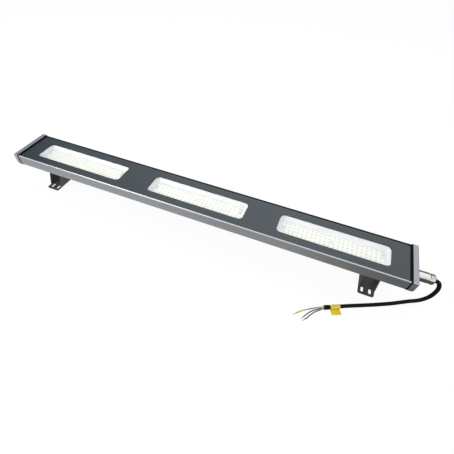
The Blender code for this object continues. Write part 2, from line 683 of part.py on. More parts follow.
def tube(name, points, diameter, resolution=2, bare_points=0, bare_share=1.0):
    """A round lead along the given points, with closed ends; the last points may be thinner."""
    curve = bpy.data.curves.new(name, "CURVE")
    curve.dimensions = "3D"
    curve.bevel_depth = diameter / 2
    curve.bevel_resolution = resolution
    curve.use_fill_caps = True
    spline = curve.splines.new("POLY")
    spline.points.add(len(points) - 1)
    for number, (point, co) in enumerate(zip(spline.points, points)):
        point.co = (*co, 1.0)
        point.radius = bare_share if number >= len(points) - bare_points else 1.0
    return bpy.data.objects.new(name, curve)


def channel_section(width, low, high, flip):
    """The section of a folded sheet channel: a flat web at low and two walls up to high."""
    outer, inner = BEND_RADIUS, BEND_RADIUS - SHEET
    half = arc((width / 2 - outer, low + outer), outer, -90, 0, 4)
    half += [(width / 2, high), (width / 2 - SHEET, high)]
    half += arc((width / 2 - outer, low + outer), inner, 0, -90, 4)
    outline = mirrored(half)
    return [(across, -up) for across, up in outline] if flip else outline


def make_foot(word, tilt):
    """A folded sheet foot: base with four slots, two tapered walls with round ears."""
    low = -PIVOT_HEIGHT
    section = channel_section(FOOT_WIDTH, low, FOOT_EAR_RADIUS + CUT_OVERRUN, False)
    length = 2 * FOOT_HALF_LENGTH
    foot = flat_solid("foot_" + word, [section], length + CUT_OVERRUN, (0.0, 0.0, 0.0), ALONG_Y)
    place(foot, FOOT_PAINT, tilt)

    shoulder = low + FOOT_EAR_BASE
    above = low + SHEET + SEAT_GAP
    half = [(FOOT_HALF_LENGTH, low - CUT_OVERRUN), (FOOT_HALF_LENGTH, above), (FOOT_WALL_HALF, above),
            (FOOT_EAR_RADIUS, shoulder)]
    half += arc((0.0, 0.0), FOOT_EAR_RADIUS, 0, 90)
    side_view = flat_solid("foot_side_" + word, [mirrored(half)], 2 * FOOT_WIDTH,
                           (0.0, 0.0, 0.0), ALONG_X)
    combine(foot, place(side_view, None, tilt), "INTERSECT")

    plan = rounded_rectangle(FOOT_WIDTH / 2 + SEAT_GAP / 4, FOOT_HALF_LENGTH, FOOT_CORNER)
    top_view = flat_solid("foot_plan_" + word, [plan], 4 * PIVOT_HEIGHT, (0.0, 0.0, 0.0), ALONG_Z)
    combine(foot, place(top_view, None, tilt), "INTERSECT")

    slots = []
    for sx in (1, -1):
        for sy in (1, -1):
            slots.append(rounded_rectangle(SLOT_WIDTH / 2, SLOT_LENGTH / 2, SLOT_WIDTH / 2 - SEAT_GAP / 4,
                                           (sx * SLOT_X, sy * SLOT_Y), 4))
    slot_tool = flat_solid("foot_slots_" + word, slots, 4 * SHEET, (0.0, 0.0, low), ALONG_Z)
    combine(foot, place(slot_tool, None, tilt), "DIFFERENCE")
    bore = rod("foot_bore_" + word, BOLT_RADIUS + BOLT_CLEARANCE, 2 * FOOT_WIDTH,
               (0.0, 0.0, 0.0), ALONG_X)
    combine(foot, place(bore, None, tilt), "DIFFERENCE")


def make_saddle(word, slide):
    """A folded sheet saddle: its plate lies under the rails, its ears hang down to the pivot."""
    section = channel_section(SADDLE_WIDTH, -SADDLE_TOP, SADDLE_EAR_RADIUS + CUT_OVERRUN, True)
    saddle = flat_solid("saddle_" + word, [section], 2 * SADDLE_HALF_LENGTH, (0.0, 0.0, 0.0), ALONG_Y)
    place(saddle, FOOT_PAINT, slide)

    under = SADDLE_TOP - SHEET - SEAT_GAP
    half = [(SADDLE_HALF_LENGTH + CUT_OVERRUN, SADDLE_TOP + CUT_OVERRUN),
            (SADDLE_HALF_LENGTH + CUT_OVERRUN, under), (SADDLE_EAR_HALF, under)]
    half += arc((0.0, 0.0), SADDLE_EAR_RADIUS, 0, -90)
    side_view = flat_solid("saddle_side_" + word, [mirrored(half)], 2 * SADDLE_WIDTH,
                           (0.0, 0.0, 0.0), ALONG_X)
    combine(saddle, place(side_view, None, slide), "INTERSECT")

    holes = bmesh.new()
    for sign in (1, -1):
        add_rod(holes, BOLT_RADIUS + BOLT_CLEARANCE, 4 * SHEET, (0.0, sign * RAIL_Y, SADDLE_TOP),
                ALONG_Z, 16)
    add_rod(holes, BOLT_RADIUS + BOLT_CLEARANCE, 2 * SADDLE_WIDTH, (0.0, 0.0, 0.0), ALONG_X, 16)
    combine(saddle, place(from_bmesh("saddle_holes_" + word, holes), None, slide), "DIFFERENCE")


def hex_bolt(name, length, turn):
    """A bolt whose head's underside is at the origin and whose shank runs down from it."""
    head = rod(name, BOLT_HEAD_FLATS / math.sqrt(3), BOLT_HEAD_HEIGHT,
               (0.0, 0.0, BOLT_HEAD_HEIGHT / 2), Matrix.Rotation(math.pi / 6, 4, "Z"), 6)
    overlap = BOLT_HEAD_HEIGHT / 2
    shank = rod(name + "_shank", BOLT_RADIUS, length + overlap, (0.0, 0.0, (overlap - length) / 2),
                ALONG_Z, 12)
    combine(head, place(shank), "UNION")
    mesh = settled(head)
    mesh.transform(turn)
    return mesh


def flange_nut(name, turn):
    """A nut whose flange lies on the plane of the origin, with the hexagon below it."""
    nut = rod(name, BOLT_HEAD_FLATS / math.sqrt(3), NUT_HEIGHT - SEAT_GAP,
              (0.0, 0.0, -(NUT_HEIGHT + SEAT_GAP) / 2), Matrix.Rotation(math.pi / 6, 4, "Z"), 6)
    flange = rod(name + "_flange", NUT_FLANGE_RADIUS, NUT_FLANGE,
                 (0.0, 0.0, -NUT_FLANGE / 2), ALONG_Z, 16)
    combine(nut, place(flange), "UNION")
    bore = rod(name + "_bore", BOLT_RADIUS + SEAT_GAP, 4 * NUT_HEIGHT, (0.0, 0.0, 0.0), ALONG_Z, 12)
    combine(nut, place(bore), "DIFFERENCE")
    mesh = settled(nut)
    mesh.transform(turn)
    return mesh


def make_bracket_fasteners(word, slide, tilt):
    """Two slide bolts with nuts, and the pivot bolt with its nut."""
    lip_top = GLASS_HEIGHT - HOUSING_DEPTH + RAIL_LIP + SEAT_GAP - PIVOT_HEIGHT
    nut_top = SADDLE_TOP - SHEET - SEAT_GAP
    length = lip_top - nut_top + NUT_HEIGHT + BOLT_STICK_OUT
    spots = [(0.0, sign * RAIL_Y, lip_top) for sign in (1, -1)]
    bolt = hex_bolt("slide_bolt_" + word, length, ALONG_Z)
    repeat("slide_bolt_" + word, bolt, spots, STEEL, slide)
    spots = [(0.0, sign * RAIL_Y, nut_top) for sign in (1, -1)]
    nut = flange_nut("slide_nut_" + word, ALONG_Z)
    repeat("slide_nut_" + word, nut, spots, STEEL, slide)

    face = FOOT_WIDTH / 2 + SEAT_GAP
    length = 2 * face + NUT_HEIGHT + BOLT_STICK_OUT
    bolt = hex_bolt("pivot_bolt_" + word, length, ALONG_X)
    place(bpy.data.objects.new("pivot_bolt_" + word, bolt), STEEL, tilt, (face, 0.0, 0.0))
    nut = flange_nut("pivot_nut_" + word, ALONG_X)
    place(bpy.data.objects.new("pivot_nut_" + word, nut), STEEL, tilt, (-face, 0.0, 0.0))


def hexagon(name, flats, start, length):
    """A six-sided bar along X on the gland's axis, with one corner on top."""
    return rod(name, flats / math.sqrt(3), length,
               (start + length / 2, GLAND_Y, GLAND_HEIGHT), ALONG_X, 6)


def gland_turned(name, profile, start, closed=False):
    """A turned shape on the gland's axis; its heights run along X from start."""
    return turned(name, profile, (start, GLAND_Y, GLAND_HEIGHT), ALONG_X, BORE_SIDES, closed)


def make_gland(nut_axis):
    """Nickel gland: threaded body, washer, lock nut inside the cap, insert and dome nut."""
    wall_out = LIGHT_LENGTH / 2
    wall_in = wall_out - CAP_PLATE
    seat = wall_out + SEAT_GAP + GLAND_WASHER + SEAT_GAP
    hex_end = seat + GLAND_BODY_LENGTH
    claw_end = hex_end + GLAND_CLAW_LENGTH
    corner = GLAND_FLATS / math.sqrt(3)
    bore = CABLE_RADIUS + SEAT_GAP

    body = hexagon("gland_body", GLAND_FLATS, seat, GLAND_BODY_LENGTH)
    place(body, NICKEL)
    edge = GLAND_CHAMFER
    barrel = gland_turned("gland_barrel", [
        (0.0, GLAND_BODY_LENGTH + edge), (GLAND_FLATS / 2, GLAND_BODY_LENGTH),
        (corner, GLAND_BODY_LENGTH - edge), (corner, edge), (GLAND_FLATS / 2, 0.0),
        (0.0, -edge)], seat)
    combine(body, place(barrel), "INTERSECT")
    thread_start = wall_out - GLAND_THREAD_LENGTH
    spigot = gland_turned("gland_spigot", [
        (0.0, claw_end - thread_start), (GLAND_CLAW_RADIUS, claw_end - thread_start),
        (GLAND_CLAW_RADIUS, hex_end - edge - thread_start),
        (GLAND_THREAD_RADIUS, hex_end - edge - thread_start), (GLAND_THREAD_RADIUS, 0.0),
        (0.0, 0.0)], thread_start)
    combine(body, place(spigot), "UNION")
    insert_start = claw_end - GLAND_INSERT_LENGTH
    hollow = gland_turned("gland_hollow", [
        (0.0, claw_end + edge - thread_start),
        (GLAND_INSERT_RADIUS + SEAT_GAP, claw_end + edge - thread_start),
        (GLAND_INSERT_RADIUS + SEAT_GAP, insert_start - thread_start),
        (bore, insert_start - thread_start), (bore, -edge), (0.0, -edge)], thread_start)
    combine(body, place(hollow), "DIFFERENCE")

    length = GLAND_INSERT_LENGTH - SEAT_GAP
    place(gland_turned("gland_insert", [
        (bore, length), (GLAND_INSERT_RADIUS, length), (GLAND_INSERT_RADIUS, 0.0), (bore, 0.0)],
        insert_start + SEAT_GAP, True), RUBBER)
    place(gland_turned("gland_washer", [
        (GLAND_THREAD_RADIUS + GLAND_HOLE_CLEARANCE, GLAND_WASHER), (GLAND_WASHER_RADIUS, GLAND_WASHER),
        (GLAND_WASHER_RADIUS, 0.0), (GLAND_THREAD_RADIUS + GLAND_HOLE_CLEARANCE, 0.0)],
        wall_out + SEAT_GAP, True), RUBBER)

    lock = hexagon("gland_lock_nut", GLAND_FLATS, wall_in - SEAT_GAP - LOCK_NUT_HEIGHT, LOCK_NUT_HEIGHT)
    place(lock, NICKEL)
    hole = rod("lock_bore", GLAND_THREAD_RADIUS + SEAT_GAP, 4 * LOCK_NUT_HEIGHT,
               (wall_in, GLAND_Y, GLAND_HEIGHT), ALONG_X)
    combine(lock, place(hole), "DIFFERENCE")
    make_dome_nut(nut_axis, hex_end + 2 * SEAT_GAP, claw_end, corner, bore)


def make_dome_nut(nut_axis, start, claw_end, corner, bore):
    """The nut that squeezes the insert: a hexagon whose end is domed down to the mouth."""
    nut = hexagon("gland_dome_nut", GLAND_FLATS, start, GLAND_NUT_LENGTH + CUT_OVERRUN)
    edge = GLAND_CHAMFER
    dome = [(0.0, GLAND_NUT_LENGTH)]
    dome += [(GLAND_MOUTH_RADIUS + (corner - GLAND_MOUTH_RADIUS) * math.sin(math.radians(a)),
              GLAND_NUT_HEX + (GLAND_NUT_LENGTH - GLAND_NUT_HEX) * math.cos(math.radians(a)))
             for a in (0, 25, 50, 75)]
    dome += [(corner, GLAND_NUT_HEX), (corner, edge), (GLAND_FLATS / 2, 0.0), (0.0, -edge)]
    shape = gland_turned("dome_shape", dome, start)
    combine(nut, place(shape), "INTERSECT")
    mouth = bore + SEAT_GAP
    inside = claw_end + SEAT_GAP - start
    hollow = gland_turned("dome_hollow", [
        (0.0, GLAND_NUT_LENGTH + edge), (mouth, GLAND_NUT_LENGTH + edge), (mouth, inside),
        (GLAND_CLAW_RADIUS + SEAT_GAP, inside), (GLAND_CLAW_RADIUS + SEAT_GAP, -edge),
        (0.0, -edge)], start)
    combine(nut, place(hollow), "DIFFERENCE")
    CUTTERS.objects.link(nut)
    mesh = as_mesh(nut)
    mesh.transform(Matrix.Translation(-nut_axis.location))
    place(bpy.data.objects.new("gland_dome_nut", mesh), NICKEL, nut_axis)


def smooth_points(route, step):
    """Points a set distance apart on a smooth curve through a hand-chosen route."""
    curve = [Vector(point) for point in route]
    ends = [2 * curve[0] - curve[1]] + curve + [2 * curve[-1] - curve[-2]]
    fine = []
    for index in range(1, len(ends) - 2):
        before, start, end, after = ends[index - 1:index + 3]
        for part in range(20):
            t = part / 20
            fine.append(0.5 * (2 * start + (end - before) * t
                               + (2 * before - 5 * start + 4 * end - after) * t * t
                               + (3 * start - before - 3 * end + after) * t * t * t))
    fine.append(curve[-1])
    total = sum((b - a).length for a, b in zip(fine, fine[1:]))
    count = max(2, round(total / step))
    marks = [total * i / count for i in range(count + 1)]
    points = []
    travelled = 0.0
    for a, b in zip(fine, fine[1:]):
        span = (b - a).length
        while marks and travelled + span >= marks[0] - SEAT_GAP * 0.01:
            points.append(a.lerp(b, min(1.0, (marks.pop(0) - travelled) / span)))
        travelled += span
    return points


def make_cable():
    """The supply cable with its sleeve, bare tag, three cores and their copper ends."""
    start = Vector((LIGHT_LENGTH / 2 + GLAND_BODY_LENGTH, GLAND_Y, GLAND_HEIGHT))
    points = [start] + smooth_points(CABLE_ROUTE, CABLE_POINT_STEP * CABLE_DIAMETER)
    place(tube("supply_cable", points, CABLE_DIAMETER, 3), RUBBER)

    inner_start = CAP_INNER_X - SEAT_GAP
    inner = [(inner_start, GLAND_Y, GLAND_HEIGHT), (start.x - SEAT_GAP, GLAND_Y, GLAND_HEIGHT)]
    place(tube("inner_supply_lead", inner, CABLE_DIAMETER, 3), RUBBER)

    end = points[-1]
    along = (points[-1] - points[-2]).normalized()
    frame = along.to_track_quat("Z", "Y").to_matrix().to_4x4()
    inner_radius = CABLE_RADIUS + SEAT_GAP
    outer = inner_radius + SLEEVE_WALL
    half = SLEEVE_LENGTH / 2
    sleeve = turned("cable_sleeve", [(inner_radius, half), (outer, half), (outer, -half),
                                     (inner_radius, -half)], end - along * half, frame, 16, True)
    place(sleeve, RUBBER)
    make_tag(end, along, frame, inner_radius)
    make_cores(end, along)


def make_tag(end, along, frame, inner_radius):
    """A bare flag tag: a band round the cable and a leaf that lies on the surface."""
    middle = end - along * (TAG_DISTANCE + TAG_LENGTH / 2)
    half = TAG_LENGTH / 2
    outer = inner_radius + TAG_WALL
    band = turned("cable_tag", [(inner_radius, half), (outer, half), (outer, -half),
                                (inner_radius, -half)], middle, frame, 16, True)
    place(band, TAG)
    across = Vector((along.y, -along.x, 0.0)).normalized()
    if across.y > 0:
        across = -across
    leaf = box("tag_leaf", (TAG_LENGTH, TAG_LEAF, TAG_WALL), (0.0, 0.0, 0.0))
    base = middle + across * (TAG_LEAF / 2)
    base.z = middle.z - outer + TAG_WALL / 2
    spin = Matrix(((-along.x, across.x, 0, base.x), (-along.y, across.y, 0, base.y),
                   (0, 0, 1, base.z), (0, 0, 0, 1)))
    leaf.data.transform(spin)
    combine(band, place(leaf), "UNION")


def make_cores(end, along):
    """Three insulated cores from the cable's end, each thinned to its bare copper tip."""
    side = Vector((0.0, 0.0, 1.0)).cross(along).normalized()
    up = along.cross(side)
    cores = (("core_earth", EARTH_ROUTE, GREEN_YELLOW, 90), ("core_neutral", NEUTRAL_ROUTE, BLUE, 210),
             ("core_live", LIVE_ROUTE, BROWN, 330))
    for name, route, look, turn in cores:
        angle = math.radians(turn)
        offset = side * math.cos(angle) * CORE_CIRCLE + up * math.sin(angle) * CORE_CIRCLE
        first = end + along * SEAT_GAP + offset
        second = first + along * CORE_DIAMETER
        whole = smooth_points([first, second] + route, CABLE_POINT_STEP * CORE_DIAMETER)
        heading = (whole[-1] - whole[-2]).normalized()
        whole += [whole[-1] + heading * SEAT_GAP, whole[-1] + heading * (SEAT_GAP + COPPER_LENGTH)]
        place(tube(name, whole, CORE_DIAMETER, 2, 2, COPPER_DIAMETER / CORE_DIAMETER), look)


def main():
    make_housing()
    for word, side in (("left", -1), ("right", 1)):
        make_end_cap(word, side)
        make_gasket(word, side)
        make_end_screws(word, side)
        slide = empty("slide_" + word, (side * FOOT_X, 0.0, PIVOT_HEIGHT))
        tilt = empty("tilt_" + word, (0.0, 0.0, 0.0), slide)
        make_saddle(word, slide)
        make_foot(word, tilt)
        make_bracket_fasteners(word, slide, tilt)
    make_glass()
    for index in range(WINDOW_COUNT):
        make_tray(index)
        make_board(index)
    make_electrics()
    make_gland(empty("gland_nut_turn", (LIGHT_LENGTH / 2, GLAND_Y, GLAND_HEIGHT)))
    make_cable()


main()
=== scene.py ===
# %% [markdown]
# # A long LED flood light
# A linear flood light is an aluminium extrusion with a printed cover glass, closed by a cast cap at
# each end. It stands on two folded feet, and a rubber cable leaves it through a nickel gland.
# The engineering model already has every solid at its real size. This lesson dresses that model: it
# rounds edges, models the small things a camera picks up, and gives each surface its own finish.
# Lengths are in metres, +Z is up, and the light runs along X with its gland at +X.

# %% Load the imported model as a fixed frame
import json
import math

import bmesh
import bpy
from mathutils import Matrix, Quaternion, Vector

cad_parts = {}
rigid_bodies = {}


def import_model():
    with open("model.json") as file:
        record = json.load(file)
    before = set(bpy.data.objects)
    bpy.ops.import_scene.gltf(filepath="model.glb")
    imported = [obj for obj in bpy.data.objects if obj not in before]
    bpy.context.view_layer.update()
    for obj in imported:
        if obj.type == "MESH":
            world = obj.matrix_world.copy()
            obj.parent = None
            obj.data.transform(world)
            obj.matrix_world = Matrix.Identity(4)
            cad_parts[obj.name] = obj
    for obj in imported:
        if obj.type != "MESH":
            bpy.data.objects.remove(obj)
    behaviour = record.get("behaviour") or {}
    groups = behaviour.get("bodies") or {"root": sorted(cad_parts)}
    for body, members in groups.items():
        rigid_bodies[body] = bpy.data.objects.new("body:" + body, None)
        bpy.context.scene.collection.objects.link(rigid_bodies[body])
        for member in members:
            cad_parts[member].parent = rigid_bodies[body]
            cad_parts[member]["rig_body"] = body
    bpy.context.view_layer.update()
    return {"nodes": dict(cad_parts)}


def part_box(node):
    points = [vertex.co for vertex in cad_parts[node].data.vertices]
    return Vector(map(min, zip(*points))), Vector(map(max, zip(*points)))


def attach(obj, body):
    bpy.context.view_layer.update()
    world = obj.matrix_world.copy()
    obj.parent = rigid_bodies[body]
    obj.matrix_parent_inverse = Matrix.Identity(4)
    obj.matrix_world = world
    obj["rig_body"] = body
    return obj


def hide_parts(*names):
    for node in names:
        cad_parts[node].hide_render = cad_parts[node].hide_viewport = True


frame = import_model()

MM = 0.001


def in_mm(lengths):
    return [round(length / MM, 1) for length in lengths]


# %% [markdown]
# ## The camera
# The light was photographed from close by with a wide lens, so its right end looks much larger than
# its left end. A wide lens can be guessed by eye, but here its angle comes from the long straight
# edges of the housing, which fix the point that they run to. The camera aims at a point on the
# glass, with a slight roll, because the long edges fall to the right in the picture.

# %% Camera at the photograph's place
CAMERA_PLACE = Vector((0.2961, -0.6034, 0.7513))
CAMERA_AIM = Vector((0.1211, -0.0742, 0.1280))
CAMERA_ROLL = math.radians(4.15)
PHOTO_PIXELS = 454.0
FOCAL_PIXELS = 318.3


def link(obj):
    bpy.context.scene.collection.objects.link(obj)
    return obj


def aimed(name, data, place, aim, roll=0.0):
    """A camera or a lamp at a place, turned to an aim."""
    obj = link(bpy.data.objects.new(name, data))
    obj.location = place
    obj.rotation_mode = "QUATERNION"
    look = (Vector(aim) - Vector(place)).to_track_quat("-Z", "Y")
    obj.rotation_quaternion = look @ Quaternion((0.0, 0.0, 1.0), roll)
    return obj


lens = bpy.data.cameras.new("camera")
lens.lens = lens.sensor_width * FOCAL_PIXELS / PHOTO_PIXELS
bpy.context.scene.camera = aimed("camera", lens, CAMERA_PLACE, CAMERA_AIM, CAMERA_ROLL)
bpy.context.scene.view_settings.view_transform = "Standard"
print("lens:", round(lens.lens, 2), "mm")

# %% [markdown]
# ## Small helpers for finishes
# A material in Blender is a graph of nodes. Most finishes on this light share one idea: a plain
# colour that noise makes a little lighter or darker, a roughness that noise makes a little uneven,
# and a fine bump. Writing that graph once keeps each finish to a few words about its own surface.
# The noise reads object coordinates, which are metres here, so a scale of 1000 is a grain of 1 mm.

# %% Node helpers and the shared grained finish
NOISE_MIDDLE = (0.25, 0.75)
PATCH_SIZE = 40


def feed(tree, node, **values):
    """Gives inputs their values, with underscores for spaces; an output is linked instead."""
    for name, value in values.items():
        socket = node.inputs[name.replace("_", " ")]
        if isinstance(value, bpy.types.NodeSocket):
            tree.links.new(value, socket)
        else:
            socket.default_value = value
    return node


def add_node(tree, kind, **values):
    return feed(tree, tree.nodes.new(kind), **values)


def stretched_noise(tree, scale, stretch, detail=3.0):
    """Noise over object coordinates, drawn out along an axis by a small stretch value."""
    place = add_node(tree, "ShaderNodeTexCoord")
    mapping = add_node(tree, "ShaderNodeMapping", Vector=place.outputs["Object"], Scale=stretch)
    noise = add_node(tree, "ShaderNodeTexNoise", Vector=mapping.outputs["Vector"], Scale=scale,
                     Detail=detail)
    return noise.outputs["Fac"]


def spread(tree, value, low, high):
    """Maps the middle of a noise value to a range."""
    ramp = add_node(tree, "ShaderNodeMapRange", Value=value, From_Min=NOISE_MIDDLE[0],
                    From_Max=NOISE_MIDDLE[1], To_Min=low, To_Max=high)
    return ramp.outputs["Result"]


def blend_colours(tree, factor, first, second):
    mix = add_node(tree, "ShaderNodeMix")
    mix.data_type = "RGBA"
    mix.inputs[6].default_value = (*first, 1.0)
    mix.inputs[7].default_value = (*second, 1.0)
    tree.links.new(factor, mix.inputs[0])
    return mix.outputs[2]


def plain(name, colour, roughness, metallic=0.0):
    """A new material with its tree and its Principled shader."""
    made = bpy.data.materials.new(name)
    made.use_nodes = True
    tree = made.node_tree
    shader = feed(tree, tree.nodes["Principled BSDF"], Base_Color=(*colour, 1.0), Roughness=roughness,
                  Metallic=metallic)
    return made, tree, shader


def grained(name, colour, roughness, grain, metallic=0.0, stretch=(1.0, 1.0, 1.0), tone=0.08,
            uneven=0.05, depth=0.02 * MM, gloss=0.5):
    """A finish with fine grain: tone is the change of colour, uneven that of roughness."""
    made, tree, shader = plain(name, colour, roughness, metallic)
    fine = stretched_noise(tree, grain, stretch)
    patches = stretched_noise(tree, grain / PATCH_SIZE, stretch, detail=2.0)
    darker = tuple(c * (1 - tone) for c in colour)
    lighter = tuple(min(1.0, c * (1 + tone)) for c in colour)
    bump = add_node(tree, "ShaderNodeBump", Height=fine, Strength=1.0, Distance=depth)
    feed(tree, shader, Specular_IOR_Level=gloss, Normal=bump.outputs["Normal"],
         Base_Color=blend_colours(tree, spread(tree, patches, 0.0, 1.0), darker, lighter),
         Roughness=spread(tree, fine, roughness - uneven, roughness + uneven))
    return made


print("patches are", PATCH_SIZE, "times as large as the grain")

# %% [markdown]
# ## The studio
# The photograph has a pure white ground with hardly a shadow. A floor that is only lit would need too
# much light to reach white, and would burn out the white trays. So the floor glows for the camera,
# and keeps a small diffuse share that carries a faint contact shadow. Its back is clear, so that the
# underside can be looked at from below.
# A photographer also shapes what shiny surfaces mirror, with cards just outside the picture. Here a
# dark card to the far left keeps that end of the glass deep, and a bright one overhead in front
# draws a thin bright line along every edge that faces up and forward. Beyond the dark card it is
# bright again, for anyone who looks along the light. The mirrored floor is darker to the right, so
# the side falls off towards the gland. The top lamp stays out of reflections, or its outline shows.

# %% Floor
WHITE = (1.0, 1.0, 1.0, 1.0)
FLOOR_SIZE = 30.0
FLOOR_COLOUR = (0.88, 0.88, 0.88, 1.0)
FLOOR_GLOW = 1.04
SHADOW_SHARE = 0.12
FLOOR_MIRRORED = [(-0.30, 0.72), (0.20, 0.55), (0.62, 0.08)]


def bare_tree(owner):
    """The empty node tree of a material or a world."""
    owner.use_nodes = True
    owner.node_tree.nodes.clear()
    return owner.node_tree


def mix_shaders(tree, factor, first, second):
    """The first shader where the factor is 0, and the second where it is 1."""
    mix = add_node(tree, "ShaderNodeMixShader", Fac=factor)
    tree.links.new(first, mix.inputs[1])
    tree.links.new(second, mix.inputs[2])
    return mix.outputs[0]


def for_rays(tree, kind, shader, otherwise):
    """The shader for rays of that kind, and the other one for the rest."""
    path = add_node(tree, "ShaderNodeLightPath")
    return mix_shaders(tree, path.outputs[kind], otherwise, shader)


def tone_along(tree, value, stops):
    """A grey from a list of (value, tone), smooth between them; values lie between -1 and 1."""
    centred = add_node(tree, "ShaderNodeMapRange", Value=value, From_Min=-1.0, From_Max=1.0)
    ramp = add_node(tree, "ShaderNodeValToRGB", Fac=centred.outputs["Result"])
    ramp.color_ramp.interpolation = "EASE"
    for index, (at, tone) in enumerate(stops):
        if index < 2:
            mark = ramp.color_ramp.elements[index]
            mark.position = (at + 1) / 2
        else:
            mark = ramp.color_ramp.elements.new((at + 1) / 2)
        mark.color = (tone, tone, tone, 1.0)
    return ramp.outputs[0]


def floor_material():
    made = bpy.data.materials.new("studio_floor")
    tree = bare_tree(made)
    diffuse = add_node(tree, "ShaderNodeBsdfDiffuse", Color=FLOOR_COLOUR).outputs[0]
    glow = add_node(tree, "ShaderNodeEmission", Color=WHITE, Strength=FLOOR_GLOW).outputs[0]
    nothing = add_node(tree, "ShaderNodeBsdfTransparent", Color=WHITE).outputs[0]
    place = add_node(tree, "ShaderNodeNewGeometry")
    split = add_node(tree, "ShaderNodeSeparateXYZ", Vector=place.outputs["Position"])
    card = add_node(tree, "ShaderNodeEmission", Strength=1.0,
                    Color=tone_along(tree, split.outputs["X"], FLOOR_MIRRORED)).outputs[0]
    seen = mix_shaders(tree, SHADOW_SHARE, glow, diffuse)
    from_above = for_rays(tree, "Is Camera Ray", seen, for_rays(tree, "Diffuse Depth", diffuse, card))
    one_sided = mix_shaders(tree, place.outputs["Backfacing"], from_above, nothing)
    add_node(tree, "ShaderNodeOutputMaterial", Surface=one_sided)
    return made


half = FLOOR_SIZE / 2
floor_mesh = bpy.data.meshes.new("floor")
floor_mesh.from_pydata([(-half, -half, 0), (half, -half, 0), (half, half, 0), (-half, half, 0)], [],
                       [(0, 1, 2, 3)])
floor_mesh.materials.append(floor_material())
link(bpy.data.objects.new("floor", floor_mesh))
print("floor:", FLOOR_SIZE, "m square")

# %% World and lamps
ROOM_COLOUR = (0.93, 0.96, 1.0, 1.0)
ROOM_LIGHT = 0.55
ROOM_MIRRORED = [(-0.90, 0.74), (-0.76, 0.14), (-0.58, 0.52), (-0.30, 0.82), (0.00, 0.92), (0.36, 0.74)]
OVERHEAD_LIFT = {"From_Min": -0.12, "From_Max": -0.60, "To_Min": 1.0, "To_Max": 2.6}
THROUGH_GLASS = 1.15


def make_world():
    world = bpy.data.worlds.new("studio")
    bpy.context.scene.world = world
    tree = bare_tree(world)
    lit = add_node(tree, "ShaderNodeBackground", Color=ROOM_COLOUR, Strength=ROOM_LIGHT).outputs[0]
    seen = add_node(tree, "ShaderNodeBackground", Color=WHITE, Strength=THROUGH_GLASS).outputs[0]
    heading = add_node(tree, "ShaderNodeTexCoord")
    split = add_node(tree, "ShaderNodeSeparateXYZ", Vector=heading.outputs["Generated"])
    lift = add_node(tree, "ShaderNodeMapRange", Value=split.outputs["Y"], **OVERHEAD_LIFT)
    lift.interpolation_type = "SMOOTHSTEP"
    room = add_node(tree, "ShaderNodeBackground", Strength=lift.outputs["Result"],
                    Color=tone_along(tree, split.outputs["X"], ROOM_MIRRORED)).outputs[0]
    scattered = for_rays(tree, "Is Transmission Ray", seen, lit)
    rest = for_rays(tree, "Diffuse Depth", scattered, room)
    add_node(tree, "ShaderNodeOutputWorld", Surface=for_rays(tree, "Is Camera Ray", seen, rest))


def area_lamp(name, place, aim, size, power):
    data = bpy.data.lights.new(name, "AREA")
    data.shape = "DISK"
    data.size = size
    data.energy = power
    return aimed(name, data, place, aim)


make_world()
area_lamp("key_lamp", place=(-1.6, -1.5, 1.9), aim=(-0.1, 0.0, 0.1), size=1.4, power=26.0)
top_lamp = area_lamp("top_lamp", place=(0.4, 0.8, 2.2), aim=(0.1, 0.0, 0.1), size=1.8, power=14.0)
top_lamp.visible_glossy = False
top_lamp.visible_transmission = False
print("lamps:", len(bpy.data.lights))

# %% [markdown]
# ## The route of the cable
# The cable is a three-core rubber flex of 10.2 mm. It leaves the gland level, drops under its own
# weight and lies on the ground in front of the light, where it ends in a heat-shrink sleeve and
# three bare-ended cores. The photograph shows it from end to end, so this is its whole length.
# A free cable is never straight runs and arcs. Here a handful of points is given, and a
# curve that passes through each of them and keeps its direction there does the rest.

# %% A smooth line through given points
CABLE_DIAMETER = 10.2 * MM
CABLE_START = Vector((0.6286, -0.0160, 0.1104))
CABLE_ROUTE = [
    (0.6460, -0.0160, 0.1103), (0.6570, -0.0160, 0.1040), (0.6645, -0.0165, 0.0880),
    (0.6665, -0.0165, 0.0660), (0.6625, -0.0175, 0.0430), (0.6500, -0.0195, 0.0220),
    (0.6290, -0.0245, 0.0094), (0.6070, -0.0355, 0.0059), (0.5830, -0.0490, 0.0054),
    (0.5480, -0.0670, 0.0054), (0.5130, -0.0840, 0.0055), (0.4790, -0.1005, 0.0061),
    (0.4480, -0.1165, 0.0063), (0.4210, -0.1300, 0.0063),
]
EARTH_ROUTE = [
    (0.4120, -0.1336, 0.0077), (0.3990, -0.1398, 0.0047), (0.3850, -0.1475, 0.0025),
    (0.3680, -0.1600, 0.0018), (0.3560, -0.1720, 0.0017),
]
NEUTRAL_ROUTE = [
    (0.4110, -0.1362, 0.0040), (0.3960, -0.1475, 0.0022), (0.3870, -0.1575, 0.0018),
    (0.3790, -0.1700, 0.0017), (0.3765, -0.1745, 0.0017),
]
LIVE_ROUTE = [
    (0.4125, -0.1400, 0.0048), (0.4010, -0.1500, 0.0026), (0.3930, -0.1610, 0.0018),
    (0.3860, -0.1730, 0.0017), (0.3815, -0.1790, 0.0017),
]


def smooth_line(route, parts=10):
    """Points on a Catmull-Rom curve through the route, so many to each span."""
    knots = [Vector(point) for point in route]
    ends = [2 * knots[0] - knots[1]] + knots + [2 * knots[-1] - knots[-2]]
    points = []
    for index in range(1, len(ends) - 2):
        before, start, end, after = ends[index - 1:index + 3]
        for part in range(parts):
            t = part / parts
            points.append(0.5 * (2 * start + (end - before) * t
                                 + (2 * before - 5 * start + 4 * end - after) * t * t
                                 + (3 * start - before - 3 * end + after) * t * t * t))
    return points + [knots[-1]]


